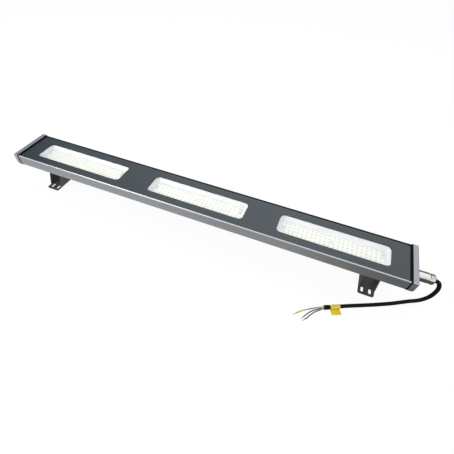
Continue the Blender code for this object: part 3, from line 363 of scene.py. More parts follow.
def length_of(points):
    return sum((b - a).length for a, b in zip(points, points[1:]))


def round_curve(name, lines, diameter, look, smoothness):
    """A curve object with one round tube along each line."""
    curve = bpy.data.curves.new(name, "CURVE")
    curve.dimensions = "3D"
    curve.bevel_depth = diameter / 2
    curve.bevel_resolution = smoothness
    curve.use_fill_caps = True
    for line in lines:
        spline = curve.splines.new("POLY")
        spline.points.add(len(line) - 1)
        for point, co in zip(spline.points, line):
            point.co = (*co, 1.0)
        spline.use_smooth = True
    curve.materials.append(look)
    return link(bpy.data.objects.new(name, curve))


cable_line = [CABLE_START] + smooth_line(CABLE_ROUTE)
cable_end = cable_line[-1]
cable_along = (cable_line[-1] - cable_line[-2]).normalized()
print("cable length:", round(length_of(cable_line), 4), "m")

# %% [markdown]
# ## Finishes of the metal
# The housing is extruded and anodised: the die leaves very fine straight lines along it, and the
# finish is satin. The caps are castings sprayed silver, with a faint fine grain and no lines.
# The feet and saddles are powder coated, which leaves a slight orange peel. The gland is plated
# brass, bright with soft clouding, the bolts are zinc plated, and the bared strands are copper. One
# function makes all six: each has its own grain and roughness, and the housing draws its noise out.

# %% Metal finishes
anodised = grained("anodised_aluminium", (0.35, 0.36, 0.375), 0.38, grain=900, metallic=0.85,
                   stretch=(0.006, 1.0, 1.0), tone=0.05, depth=0.012 * MM)
cast_silver = grained("cast_cap", (0.48, 0.485, 0.54), 0.40, grain=2600, metallic=0.92, tone=0.05,
                      uneven=0.06)
foot_paint = grained("dark_grey_paint", (0.066, 0.066, 0.072), 0.46, grain=1400, tone=0.12,
                     uneven=0.07, depth=0.03 * MM)
nickel = grained("nickel_plate", (0.73, 0.73, 0.71), 0.28, grain=1200, metallic=1.0, tone=0.05,
                 uneven=0.06, depth=0.004 * MM)
zinc = grained("bright_steel", (0.62, 0.63, 0.65), 0.31, grain=1500, metallic=1.0, tone=0.10,
               uneven=0.08, depth=0.01 * MM)
copper = grained("bare_copper", (0.80, 0.38, 0.24), 0.30, grain=2500, metallic=1.0, tone=0.12,
                 uneven=0.08, depth=0.004 * MM)
print("materials so far:", len(bpy.data.materials))

# %% [markdown]
# ## Finishes of plastic, rubber and glass
# The cover glass has to do two things: reflect the room weakly, as clear glass does, and let the
# lamps reach the white trays behind it. Real refraction blocks lamp light in a path tracer unless
# it finds the lamps by chance, which is noisy. So for shadow rays alone the glass is swapped for
# a transparent shader, and everything else sees ordinary glass.
# The dark frame is a print on the back of the glass. Seen from outside, print under clear glass is
# simply a dark surface with the gloss of glass. So the glass gets a second finish for its printed
# part, which is opaque. It looks the same as two layers would, and renders with far less noise.

# %% Plastic and rubber finishes
rubber = grained("black_rubber", (0.008, 0.008, 0.009), 0.42, grain=1800, tone=0.2, uneven=0.08,
                 gloss=0.06)
tray_white = grained("white_reflector", (0.86, 0.87, 0.88), 0.42, grain=1600, tone=0.015,
                     depth=0.01 * MM)
mask_white = grained("white_board", (0.86, 0.86, 0.85), 0.30, grain=1300, tone=0.03, uneven=0.06,
                     depth=0.01 * MM)
led_case = grained("led_case", (0.82, 0.81, 0.74), 0.35, grain=3000, tone=0.02, uneven=0.04,
                   depth=0.005 * MM)
phosphor = grained("led_phosphor", (0.60, 0.60, 0.05), 0.55, grain=6000, tone=0.16, uneven=0.06)
solder = grained("solder", (0.62, 0.63, 0.63), 0.35, grain=3500, metallic=1.0, tone=0.12, uneven=0.1)
case_black = grained("driver_case", (0.06, 0.06, 0.065), 0.5, grain=1200)
terminal_white = grained("terminal_plastic", (0.75, 0.75, 0.72), 0.42, grain=1500, tone=0.03)
vinyl_yellow = grained("yellow_tag", (0.86, 0.66, 0.035), 0.38, grain=1700, tone=0.07, uneven=0.06,
                       depth=0.015 * MM)
core_blue = grained("blue_core", (0.015, 0.12, 0.23), 0.36, grain=2500)
core_brown = grained("brown_core", (0.14, 0.055, 0.028), 0.36, grain=2500)
core_green = grained("earth_green", (0.035, 0.19, 0.05), 0.36, grain=2500)
core_yellow = grained("earth_yellow", (0.58, 0.48, 0.05), 0.36, grain=2500, tone=0.06)
print("materials so far:", len(bpy.data.materials))

# %% Print and glass
SLATE = (0.018, 0.031, 0.039)
GLASS_TINT = (0.994, 0.998, 0.995)
GLASS_IOR = 1.46
SHADOW_TINT = (0.97, 0.985, 0.98, 1.0)

ink = grained("slate_print", SLATE, 0.45, grain=2200, tone=0.06, depth=0.003 * MM)
printed_glass = grained("printed_glass", SLATE, 0.09, grain=2200, tone=0.04, uneven=0.02,
                        depth=0.0005 * MM, gloss=1.0)


def make_clear_glass():
    made, tree, shader = plain("clear_glass", GLASS_TINT, roughness=0.02)
    feed(tree, shader, Transmission_Weight=1.0, IOR=GLASS_IOR)
    through = add_node(tree, "ShaderNodeBsdfTransparent", Color=SHADOW_TINT).outputs[0]
    feed(tree, tree.nodes["Material Output"],
         Surface=for_rays(tree, "Is Shadow Ray", through, shader.outputs[0]))
    return made


clear_glass = make_clear_glass()
print("materials so far:", len(bpy.data.materials))

# %% [markdown]
# ## Dressing the solids that are already right
# Most engineering solids have the right shape but knife-sharp edges, and a sharp edge never catches
# the light. A Bevel modifier could round them, but the solids arrive as separate triangles, which
# it can't follow. So the helper here welds a copy, merges its flat triangles into whole faces, and
# then rounds only the edges that are really sharp. The rounding is a real size, 0.35 to 0.7 mm.
# Smooth shading over a rounded edge has a side effect: it also tilts the shading of the large flat
# face next to it. On a pane of glass that bends all that is seen through it. A Weighted Normal
# modifier mends this, because it lets each corner follow its largest face.

# %% From a bmesh to a piece of the light
SHARP_ANGLE = math.radians(34.0)
body_of_node = {name: node["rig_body"] for name, node in frame["nodes"].items()}


def mesh_of(name, bm):
    """The bmesh as a mesh; the bmesh itself is used up."""
    mesh = bpy.data.meshes.new(name)
    bm.to_mesh(mesh)
    bm.free()
    return mesh


def finished(mesh, looks, crisp=SHARP_ANGLE):
    """Gives a mesh its finishes, and smooth shading but for its crisp edges."""
    for look in looks:
        mesh.materials.append(look)
    mesh.shade_smooth()
    mesh.set_sharp_from_angle(angle=crisp)
    return mesh


def keep_flats_flat(piece):
    """Lets large faces set the shading at their corners, so that only the rounding looks round."""
    weighted = piece.modifiers.new("flats_stay_flat", "WEIGHTED_NORMAL")
    weighted.keep_sharp = True
    return piece


def installed(piece, node=None):
    """The piece on the body of the solid that it stands for, or on the housing where it adds to it."""
    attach(piece, body_of_node[node] if node else "housing")
    if node:
        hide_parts(node)
    return piece


def shown(name, bm, looks, node=None, crisp=SHARP_ANGLE, wall=0.0, wall_offset=-1.0):
    """A bmesh as a piece of the light; a wall thickens a bare sheet."""
    bmesh.ops.recalc_face_normals(bm, faces=bm.faces)
    piece = link(bpy.data.objects.new(name, finished(mesh_of(name, bm), looks, crisp)))
    if wall:
        sheet = piece.modifiers.new("wall", "SOLIDIFY")
        sheet.thickness = wall
        sheet.offset = wall_offset
    return installed(keep_flats_flat(piece), node)


print("bodies:", sorted(set(body_of_node.values())))

# %% Eased copies of solids
SIDES = ("left", "right")
WELD = 0.001 * MM
FLAT_ANGLE = math.radians(1.0)
CAP_EDGE = 0.7 * MM
GASKET_EDGE = 0.4 * MM
SHEET_EDGE = 0.5 * MM
HOUSING_EDGE = 0.35 * MM


def round_edges(bm, width, steps=2):
    sharp = [edge for edge in bm.edges
             if edge.is_manifold and edge.calc_face_angle() > SHARP_ANGLE]
    bmesh.ops.bevel(bm, geom=sharp, offset=width, segments=steps, profile=0.5, affect="EDGES",
                    clamp_overlap=True)


def eased(node, width, look):
    """A copy of a CAD solid with its sharp edges rounded, shown in the solid's place."""
    bm = bmesh.new()
    bm.from_mesh(frame["nodes"][node].data)
    bmesh.ops.remove_doubles(bm, verts=bm.verts, dist=WELD)
    bmesh.ops.dissolve_limit(bm, angle_limit=FLAT_ANGLE, verts=bm.verts, edges=bm.edges)
    round_edges(bm, width)
    return shown(node + "_eased", bm, [look], node)


def named(word):
    """How many objects have the word in their names."""
    return sum(word in obj.name for obj in bpy.data.objects)


for side in SIDES:
    eased("end_cap_" + side, CAP_EDGE, cast_silver)
    eased("end_gasket_" + side, GASKET_EDGE, rubber)
    eased("saddle_" + side, SHEET_EDGE, foot_paint)
    eased("foot_" + side, SHEET_EDGE, foot_paint)
eased("housing", HOUSING_EDGE, anodised)
print("eased solids:", named("_eased"))

# %% [markdown]
# ## The cable, its sleeve and its tag
# The sleeve is heat-shrink tube: it hugs the sheath and draws in a little over the cut end. The tag
# is a vinyl flag: one strip that wraps the cable and is stuck to itself in front of it. It is left
# bare. A strip is drawn as a bent line across the cable, carried along it, and given a thickness
# with Solidify, with a slight wave, because vinyl never lies quite flat.

# %% Supply cable and sleeve
SLEEVE_LENGTH = 13.0 * MM
SLEEVE_WALL = 0.8 * MM
SLEEVE_SIDES = 40
FIT = 0.3 * MM


def lathe(profile, sides, bored=False):
    """A bmesh turned about Z from (radius, height) points; unless bored, its ends reach the axis."""
    if not bored:
        profile = [(0.0, profile[0][1])] + profile + [(0.0, profile[-1][1])]
    bm = bmesh.new()
    verts = [bm.verts.new((radius, 0.0, height)) for radius, height in profile]
    edges = [bm.edges.new(pair) for pair in zip(verts, verts[1:])]
    if bored:
        edges.append(bm.edges.new((verts[-1], verts[0])))
    bmesh.ops.spin(bm, geom=verts + edges, cent=(0, 0, 0), axis=(0, 0, 1), angle=2 * math.pi,
                   steps=sides, use_merge=True)
    bmesh.ops.remove_doubles(bm, verts=bm.verts, dist=WELD)
    bmesh.ops.recalc_face_normals(bm, faces=bm.faces)
    return bm


cable = installed(round_curve("supply_flex", [cable_line], CABLE_DIAMETER, rubber, smoothness=8),
                  "supply_cable")

cable_radius = CABLE_DIAMETER / 2
cable_turn = cable_along.to_track_quat("Z", "Y").to_matrix().to_4x4()
inner = cable_radius + FIT
outer = inner + SLEEVE_WALL
drawn_in = cable_radius - SLEEVE_WALL
sleeve_bm = lathe([(inner, 0.0), (outer - SLEEVE_WALL / 2, 0.0), (outer, SLEEVE_WALL),
                   (outer, SLEEVE_LENGTH - SLEEVE_WALL), (outer - SLEEVE_WALL / 2, SLEEVE_LENGTH),
                   (drawn_in, SLEEVE_LENGTH + SLEEVE_WALL / 2), (drawn_in, SLEEVE_LENGTH + FIT / 2),
                   (inner, SLEEVE_LENGTH)], SLEEVE_SIDES, bored=True)
sleeve_bm.transform(Matrix.Translation(cable_end - cable_along * SLEEVE_LENGTH) @ cable_turn)
sleeve = shown("heat_shrink_sleeve", sleeve_bm, [rubber], "cable_sleeve")
print("sleeve:", in_mm(sleeve.dimensions), "mm")

# %% Flag tag
TAG_LENGTH = 26.0 * MM
TAG_LEAF = 21.0 * MM
TAG_DISTANCE = 16.0 * MM
TAG_WALL = 0.6 * MM
LEAF_LIFT = 1.6 * MM
TAG_WAVE = 0.7 * MM
WAVE_START = 0.2
WRAP_DEGREES = 340
LEAF_STEPS = 14
WRAP_STEPS = 26
TAG_ROWS = 12


def bridge(bm, rows, closed=True):
    """Faces from each row of vertices to the next, listed row by row; a closed row is a ring."""
    bands = []
    for first, second in zip(rows, rows[1:]):
        pairs = list(zip(first, second))
        ahead = pairs[1:] + (pairs[:1] if closed else [])
        bands.append([bm.faces.new((a, c, d, b)) for (a, b), (c, d) in zip(pairs, ahead)])
    return bands


def tag_line():
    """The strip seen along the cable: (across, up) from the leaf's tip to the end of its wrap."""
    radius = cable_radius + FIT + TAG_WALL / 2
    points = []
    for step in range(LEAF_STEPS):
        out = 1 - step / LEAF_STEPS
        points.append((TAG_LEAF * out, -radius + LEAF_LIFT * out ** 3))
    for step in range(WRAP_STEPS + 1):
        angle = math.radians(-90 - WRAP_DEGREES * step / WRAP_STEPS)
        points.append((radius * math.cos(angle), radius * math.sin(angle)))
    return points


def make_tag():
    forward = Vector((-cable_along.y, cable_along.x, 0.0)).normalized()
    middle = cable_end - cable_along * (TAG_DISTANCE + TAG_LENGTH / 2)
    bm = bmesh.new()
    rows = []
    for step in range(TAG_ROWS + 1):
        share = step / TAG_ROWS - 0.5
        row = []
        for across, up in tag_line():
            loose = max(0.0, across - cable_radius) / TAG_LEAF
            wave = TAG_WAVE * loose * (1 + math.sin(2 * math.pi * (share + WAVE_START)))
            point = middle + cable_along * (share * TAG_LENGTH) + forward * across
            row.append(bm.verts.new((point.x, point.y, middle.z + up + wave)))
        rows.append(row)
    bridge(bm, rows, closed=False)
    return shown("flag_tag", bm, [vinyl_yellow], "cable_tag", wall=TAG_WALL,
                 wall_offset=0.0)


tag = make_tag()
print("tag:", in_mm(tag.dimensions), "mm")

# %% [markdown]
# ## The three cores and their copper
# Inside the sheath lie three insulated cores in a triangle: earth in green and yellow, neutral in
# blue and live in brown. The earth core has two colours side by side along it, turning slowly. That
# could be a texture, but two material slots on the faces of the tube are exact.
# The bare end of each core is a rope of seven fine copper wires, so it is drawn as seven helices.

# %% Tubes and copper strands
CORE_SIDES = 16
STRIPE_TURN = 60 * MM
STRIPE_SHARE = 0.36
COPPER_LENGTH = 8.0 * MM
STRAND_DIAMETER = 0.56 * MM
STRAND_LAY = 11 * MM
STRANDS = 7
STRAND_STEPS = 12
STRANDS_OPEN = 0.35


def ring_frames(line):
    """(point, across, up) along a line, without twist."""
    frames = []
    across = None
    for index, point in enumerate(line):
        ahead = (line[min(index + 1, len(line) - 1)] - line[max(index - 1, 0)]).normalized()
        if across is None:
            across = ahead.cross(Vector((0, 0, 1))).normalized()
        across = (across - ahead * across.dot(ahead)).normalized()
        frames.append((point, across, ahead.cross(across)))
    return frames


def tube_bm(line, diameter, striped):
    """A closed round tube; when striped, about a third of its round has the second material."""
    bm = bmesh.new()
    angles = [2 * math.pi * step / CORE_SIDES for step in range(CORE_SIDES)]
    rings = [[bm.verts.new(point + (across * math.cos(angle) + up * math.sin(angle)) * diameter / 2)
              for angle in angles] for point, across, up in ring_frames(line)]
    bands = bridge(bm, rings)
    bm.faces.new(rings[0])
    bm.faces.new(rings[-1])
    for number, band in enumerate(bands if striped else []):
        shift = round(CORE_SIDES * length_of(line[:number + 2]) / STRIPE_TURN)
        for step, face in enumerate(band):
            if (step + shift) % CORE_SIDES < CORE_SIDES * STRIPE_SHARE:
                face.material_index = 1
    return bm


def strands(name, start, heading):
    """Copper wires, all but the first wound round it, that open a little at the tip."""
    side = heading.orthogonal().normalized()
    up = heading.cross(side)
    lines = []
    for wire in range(STRANDS):
        line = []
        for step in range(STRAND_STEPS + 1):
            share = step / STRAND_STEPS
            reach = COPPER_LENGTH * share
            out = STRAND_DIAMETER * (1 + STRANDS_OPEN * share ** 3) if wire else 0.0
            angle = 2 * math.pi * (wire / (STRANDS - 1) + reach / STRAND_LAY)
            line.append(start + heading * reach + (side * math.cos(angle) + up * math.sin(angle)) * out)
        lines.append(line)
    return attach(round_curve(name, lines, STRAND_DIAMETER, copper, smoothness=2), "housing")


print("copper wires to a core:", STRANDS)

# %% Earth, neutral and live
CORE_DIAMETER = 3.1 * MM
CORE_CIRCLE = 2.7 * MM
CORE_CRISP = math.radians(50)


def make_core(word, route, looks, turn):
    """A core that starts at that turn, in degrees, round the middle of the sleeve's mouth."""
    side = Vector((0, 0, 1)).cross(cable_along).normalized()
    up = cable_along.cross(side)
    angle = math.radians(turn)
    offset = (side * math.cos(angle) + up * math.sin(angle)) * CORE_CIRCLE
    first = cable_end + cable_along * FIT + offset
    line = smooth_line([first, first + cable_along * CORE_DIAMETER] + route)
    tube = tube_bm(line, CORE_DIAMETER, striped=len(looks) > 1)
    core = shown(word + "_core", tube, looks, "core_" + word, CORE_CRISP)
    tip = strands(word + "_strands", line[-1], (line[-1] - line[-2]).normalized())
    print(word, "core:", round(length_of(line), 4), "m")


make_core("earth", EARTH_ROUTE, [core_yellow, core_green], turn=90)
make_core("neutral", NEUTRAL_ROUTE, [core_blue], turn=210)
make_core("live", LIVE_ROUTE, [core_brown], turn=330)

# %% [markdown]
# ## The cover glass
# Tempered glass has ground edges. Here a slab with a small rounding takes the place of the solid,
# because a knife edge on clear glass shows as a black line. Its faces stay flat, so that what it
# reflects stays straight. The slab is built from rings of vertices, one above the other, because its
# top has to be cut along the three windows: inside them it is clear, and round them it is printed.
# A bead of black silicone seals the glass to the rims and the gaskets all round. The bead's face is
# hollow, as a finger or a spatula leaves it.

# %% Rings of vertices
CORNER_STEPS = 10


def rounded_loop(bm, half_x, half_y, radius, centre, height):
    """Vertices round a rectangle with round corners."""
    ring = []
    for sx, sy, start in ((1, 1, 0), (-1, 1, 90), (-1, -1, 180), (1, -1, 270)):
        for step in range(CORNER_STEPS + 1):
            angle = math.radians(start + 90 * step / CORNER_STEPS)
            ring.append(bm.verts.new((centre.x + sx * (half_x - radius) + radius * math.cos(angle),
                                      centre.y + sy * (half_y - radius) + radius * math.sin(angle),
                                      height)))
    return ring


def inset_rings(bm, low, high, corner, levels):
    """Rings round a box, one for each (inset, height)."""
    middle = (low + high) / 2
    half = high - middle
    return [rounded_loop(bm, half.x - inset, half.y - inset, corner - inset, middle, height)
            for inset, height in levels]


def quarter(centre, reach, angles):
    """Points on a quarter of an ellipse, by their angles in degrees from its top."""
    turns = [math.radians(angle) for angle in angles]
    return [(centre[0] + reach[0] * math.sin(turn), centre[1] + reach[1] * math.cos(turn))
            for turn in turns]


def rounding(radius, angles):
    """(inset, rise) on the quarter circle that rounds an edge, from the flat face on."""
    return quarter((radius, radius), (-radius, -radius), angles)


print("vertices in a ring:", 4 * (CORNER_STEPS + 1))

# %% Cover glass
WINDOWS = (1, 2, 3)
GLASS_EDGE = 0.6 * MM
GLASS_CORNER = 1.5 * MM
TRAY_FLANGE = 4.0 * MM
WINDOW_CORNER = 12.6 * MM


def window_of(number):
    """Centre and half sides of a window, which is its tray without the tray's flange."""
    low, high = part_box("reflector_tray_%d" % number)
    return (low + high) / 2, (high.x - low.x) / 2 - TRAY_FLANGE, (high.y - low.y) / 2 - TRAY_FLANGE


def ring_edges(bm, ring):
    return [bm.edges.get((vert, ring[step - 1])) for step, vert in enumerate(ring)]


def glass_slab(low, high):
    """A slab with rounded edges; its top is clear in the windows and printed round them."""
    bm = bmesh.new()
    arc = rounding(GLASS_EDGE, (0, 45, 90))
    levels = [(inset, low.z + rise) for inset, rise in arc]
    levels += [(inset, high.z - rise) for inset, rise in reversed(arc)]
    rings = inset_rings(bm, low, high, GLASS_CORNER, levels)
    bridge(bm, rings)
    bm.faces.new(rings[0])
    outline = ring_edges(bm, rings[-1])
    for number in WINDOWS:
        centre, half_x, half_y = window_of(number)
        window = rounded_loop(bm, half_x, half_y, WINDOW_CORNER, centre, high.z)
        bm.faces.new(window)
        outline += ring_edges(bm, window)
    filled = bmesh.ops.triangle_fill(bm, use_beauty=True, edges=outline, normal=(0, 0, 1))["geom"]
    for face in filled:
        if isinstance(face, bmesh.types.BMFace):
            face.material_index = 1
    return bm


glass_low, glass_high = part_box("cover_glass")
glass = shown("ground_edge_glass", glass_slab(glass_low, glass_high), [clear_glass, printed_glass],
              "cover_glass")
print("glass:", in_mm(glass.dimensions), "mm")

# %% Silicone bead
BEAD = 2.2 * MM
BEAD_CORNER = 3 * BEAD
BEAD_GAP = 0.05 * MM
FORMED_CRISP = math.radians(60)

bead_bm = bmesh.new()
bead_arc = rounding(BEAD, (0, 22.5, 45, 67.5, 90)) + [(0.0, 0.0)]
bead_rings = inset_rings(bead_bm, glass_low, glass_high, BEAD_CORNER,
                         [(inset, glass_high.z + BEAD_GAP + rise) for inset, rise in bead_arc])
bridge(bead_bm, bead_rings + [bead_rings[0]])
bead = shown("silicone_bead", bead_bm, [rubber], crisp=FORMED_CRISP)
print("bead:", in_mm(bead.dimensions), "mm")

# %% [markdown]
# ## The reflector trays
# Each tray is a shallow vacuum-formed frame: a flange under the print, a rolled edge at the window,
# a sloping wall and a small foot round the LED board. Formed plastic has no sharp corner anywhere.
# A loft between rounded rectangles gives that, because the corner radius can shrink from 12.6 mm at
# the window to 4 mm at the floor on the way down, which a bevelled box can't do.

# %% Reflector trays
TRAY_SLOPE = 10.0 * MM
TRAY_WALL = 1.0 * MM
TRAY_ROLL = 1.2 * MM
TRAY_FOOT = 1.0 * MM
FOOT_LIFT = 0.12 * MM
FOOT_ON_SLOPE = 0.6
FLOOR_CORNER = 4.0 * MM
WALL_SHARES = (0.2, 0.5, 0.8, 0.93)


def tray_levels(top, low):
    """(growth past the window, height, corner radius) from the flange down to the foot."""
    levels = [(TRAY_FLANGE, top, WINDOW_CORNER + TRAY_FLANGE)]
    for grow, drop in rounding(TRAY_ROLL, (0, 30, 60)):
        levels.append((grow, top - drop, WINDOW_CORNER + grow))
    for share in WALL_SHARES:
        levels.append((-(TRAY_SLOPE - TRAY_FOOT) * share, top - (top - low) * share,
                       WINDOW_CORNER + (FLOOR_CORNER - WINDOW_CORNER) * share))
    levels.append((-TRAY_SLOPE + TRAY_FOOT * FOOT_ON_SLOPE, low + FOOT_LIFT, FLOOR_CORNER))
    levels.append((-TRAY_SLOPE - TRAY_FOOT * (1 - FOOT_ON_SLOPE), low, FLOOR_CORNER - TRAY_FOOT / 2))
    return levels


def make_tray(number):
    node = "reflector_tray_%d" % number
    low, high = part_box(node)
    centre, half_x, half_y = window_of(number)
    bm = bmesh.new()
    bridge(bm, [rounded_loop(bm, half_x + grow, half_y + grow, radius, centre, height)
                for grow, height, radius in tray_levels(high.z, low.z + TRAY_WALL)])
    return shown("formed_tray_%d" % number, bm, [tray_white], node, FORMED_CRISP,
                 wall=TRAY_WALL)


for number in WINDOWS:
    tray = make_tray(number)
print("tray:", in_mm(tray.dimensions), "mm")

# %% [markdown]
# ## The LED boards
# A board is aluminium with a white solder mask and 88 small surface-mounted LEDs in four rows. An
# LED is a cream case with a shallow well of yellow phosphor, soldered at both ends. The phosphor is
# what makes the windows look speckled in the photograph, so it gets its own finish.
# One LED is modelled once and copied 88 times into one mesh, because a separate object for each of
# 264 LEDs would make the scene heavy and say nothing more.

# %% One LED
LED_SIZE = Vector((3.8, 3.6, 0.7)) * MM
LED_WELL = 0.34 * MM
LED_WELL_DEPTH = 0.07 * MM
SOLDER_SIZE = Vector((0.45, 2.6, 0.22)) * MM


def add_box(bm, low, high):
    """Adds a box to the bmesh and returns its vertices."""
    verts = bmesh.ops.create_cube(bm, size=1.0)["verts"]
    bmesh.ops.scale(bm, vec=high - low, verts=verts)
    bmesh.ops.translate(bm, vec=(low + high) / 2, verts=verts)
    return verts


def box_on(place, size):
    """A box that stands on the place with the middle of its base."""
    bm = bmesh.new()
    reach = Vector((size.x / 2, size.y / 2, 0.0))
    add_box(bm, place - reach, place + reach + Vector((0.0, 0.0, size.z)))
    return bm


def led_mesh():
    """One LED on the plane z = 0: case, phosphor well and two solder fillets."""
    bm = box_on(Vector(), LED_SIZE)
    upright = [edge for edge in bm.edges
               if abs(edge.verts[0].co.z - edge.verts[1].co.z) > LED_SIZE.z / 2]
    bmesh.ops.bevel(bm, geom=upright, offset=LED_WELL / 2, segments=2, profile=0.5, affect="EDGES")
    bm.faces.ensure_lookup_table()
    top = max(bm.faces, key=lambda face: face.calc_center_median().z)
    bmesh.ops.inset_region(bm, faces=[top], thickness=LED_WELL)
    bmesh.ops.inset_region(bm, faces=[top], thickness=LED_WELL_DEPTH, depth=-LED_WELL_DEPTH)
    top.material_index = 1
    for side in (1, -1):
        middle = Vector((side * (LED_SIZE.x + SOLDER_SIZE.x) / 2, 0.0, SOLDER_SIZE.z / 2))
        for vert in add_box(bm, middle - SOLDER_SIZE / 2, middle + SOLDER_SIZE / 2):
            if vert.co.z > middle.z and side * (vert.co.x - middle.x) > 0:
                vert.co.z = SOLDER_SIZE.z / 4
            for face in vert.link_faces:
                face.material_index = 2
    return mesh_of("led", bm)


one_led = led_mesh()
print("faces of one LED:", len(one_led.polygons))

# %% A board full of LEDs
MASK_THICKNESS = 0.4 * MM
LED_PITCH = (12.0 * MM, 11.5 * MM)
LED_COLUMNS = 22
LED_ROWS = 4


def copies(mesh, spots):
    """A bmesh that holds the mesh once at each spot."""
    bm = bmesh.new()
    for spot in spots:
        before = len(bm.verts)
        bm.from_mesh(mesh)
        bm.verts.ensure_lookup_table()
        bmesh.ops.translate(bm, vec=spot, verts=bm.verts[before:])
    return bm


def grid(centre, height):
    return [Vector((centre.x + (column - (LED_COLUMNS - 1) / 2) * LED_PITCH[0],
                    centre.y + (row - (LED_ROWS - 1) / 2) * LED_PITCH[1], height))
            for column in range(LED_COLUMNS) for row in range(LED_ROWS)]


def board_face(number):
    """Lowest and highest corner of the board's mask, which the LEDs, screws and plugs stand on."""
    low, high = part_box("led_array_%d" % number)
    return low, Vector((high.x, high.y, low.z + MASK_THICKNESS))


for number in WINDOWS:
    low, high = board_face(number)
    mask_bm = bmesh.new()
    add_box(mask_bm, low, high)
    round_edges(mask_bm, MASK_THICKNESS / 4)
    shown("solder_mask_%d" % number, mask_bm, [mask_white], "led_array_%d" % number)
    shown("leds_%d" % number, copies(one_led, grid((low + high) / 2, high.z)),
          [led_case, phosphor, solder])
print("LEDs:", len(WINDOWS) * LED_COLUMNS * LED_ROWS)

# %% [markdown]
# ## Board screws and plugs
# Each board is held down by three small pan-head screws, and a white two-pole plug at its end takes
# the supply. They are drawn here and not in the engineering model, because they carry nothing that
# moves. A cross recess is cut with a Boolean, since its four arms meet the dome in a curved edge.

# %% Pan-head screw
SCREW_HEAD_RADIUS = 2.6 * MM
SCREW_HEAD_HEIGHT = 1.7 * MM
SCREW_SIDES = 24
RIM_SHARE = 0.25
RECESS_LENGTH = 3.2 * MM
RECESS_WIDTH = 0.7 * MM
RECESS_DEPTH = 1.1 * MM


def boolean(first, second, operation):
    """The Boolean of two bmeshes, as a new one."""
    solids = [link(bpy.data.objects.new("cut", mesh_of("cut", bm))) for bm in (first, second)]
    change = solids[0].modifiers.new("cut", "BOOLEAN")
    change.operation = operation
    change.object = solids[1]
    change.solver = "EXACT"
    bpy.context.view_layer.update()
    result = bmesh.new()
    result.from_object(solids[0], bpy.context.evaluated_depsgraph_get())
    for solid in solids:
        bpy.data.objects.remove(solid)
    return result


def pan_screw():
    """A pan head on the plane z = 0, with a cross recess."""
    rim = SCREW_HEAD_HEIGHT * RIM_SHARE
    dome = quarter((0.0, rim), (SCREW_HEAD_RADIUS, SCREW_HEAD_HEIGHT - rim), range(0, 91, 15))
    head = lathe(dome + [(SCREW_HEAD_RADIUS, 0.0)], SCREW_SIDES)
    for sides in ((RECESS_LENGTH, RECESS_WIDTH), (RECESS_WIDTH, RECESS_LENGTH)):
        bottom = Vector((0.0, 0.0, SCREW_HEAD_HEIGHT - RECESS_DEPTH / 2))
        head = boolean(head, box_on(bottom, Vector((*sides, RECESS_DEPTH))), "DIFFERENCE")
    return mesh_of("pan_screw", head)


screw_mesh = pan_screw()
print("faces of one screw:", len(screw_mesh.polygons))

# %% Three screws and a plug on each board
SCREW_INSET = 8.6 * MM
PLUG_SIZE = Vector((6.0, 8.0, 3.0)) * MM
PLUG_EDGE = 0.3 * MM

for number in WINDOWS:
    low, high = board_face(number)
    centre = (low + high) / 2
    spots = [Vector((x, centre.y, high.z))
             for x in (low.x + SCREW_INSET, centre.x, high.x - SCREW_INSET)]
    shown("board_screws_%d" % number, copies(screw_mesh, spots), [zinc])
    plug_bm = box_on(Vector((high.x - SCREW_INSET, centre.y + LED_PITCH[1], high.z)), PLUG_SIZE)
    round_edges(plug_bm, PLUG_EDGE)
    shown("board_plug_%d" % number, plug_bm, [terminal_white])
print("board screws:", len(WINDOWS) * len(spots), "plugs:", named("board_plug"))

# %% [markdown]
# ## The gland
# A cable gland is a hexagonal body that is screwed into the cap, and a dome nut that squeezes a
# rubber insert round the cable. Both are made as a hexagonal bar turned on a lathe, which is why
# their corners end in curved lines. The same two steps make them here: a six-sided bar, and a
# turned shape that is cut with it by a Boolean, so that only what lies in both is left.

# %% A hexagonal bar turned on a lathe
BAR_OVERRUN = 1 * MM
ALONG_X = Matrix(((0, 0, 1, 0), (1, 0, 0, 0), (0, 1, 0, 0), (0, 0, 0, 1)))


def hexagon_reach(flats):
    """From the middle of a hexagon to its flats and to its corners."""
    return flats / 2, flats / math.sqrt(3)


def hexagon_bm(flats, low, high):
    bm = bmesh.new()
    _, corner = hexagon_reach(flats)
    bmesh.ops.create_cone(bm, cap_ends=True, segments=6, radius1=corner, radius2=corner,
                          depth=high - low, matrix=Matrix.Translation((0, 0, (low + high) / 2)))
    return bm


def turned_hexagon(flats, profile, sides):
    """What a hexagonal bar and a turned profile have in common."""
    heights = [height for _, height in profile]
    bar = hexagon_bm(flats, min(heights) - BAR_OVERRUN, max(heights) + BAR_OVERRUN)
    return boolean(bar, lathe(profile, sides), "INTERSECT")


def middle_of(node):
    low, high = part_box(node)
    return (low + high) / 2


print("middle of the dome nut:", in_mm(middle_of("gland_dome_nut")), "mm")

# %% Gland body and dome nut
GLAND_FLATS = 24.0 * MM
GLAND_CHAMFER = 1.3 * MM
GLAND_EDGE = 0.18 * MM
GLAND_SIDES = 72
GROOVE = 0.9 * MM
DOME_START = 0.54
MOUTH_RADIUS = 8.2 * MM


def gland_piece(name, node, bm, start):
    """A turned piece laid along X from its start, on the axis of the gland."""
    _, axis_y, axis_z = middle_of("gland_dome_nut")
    round_edges(bm, GLAND_EDGE)
    bm.transform(Matrix.Translation((start, axis_y, axis_z)) @ ALONG_X)
    return shown(name, bm, [nickel], node)


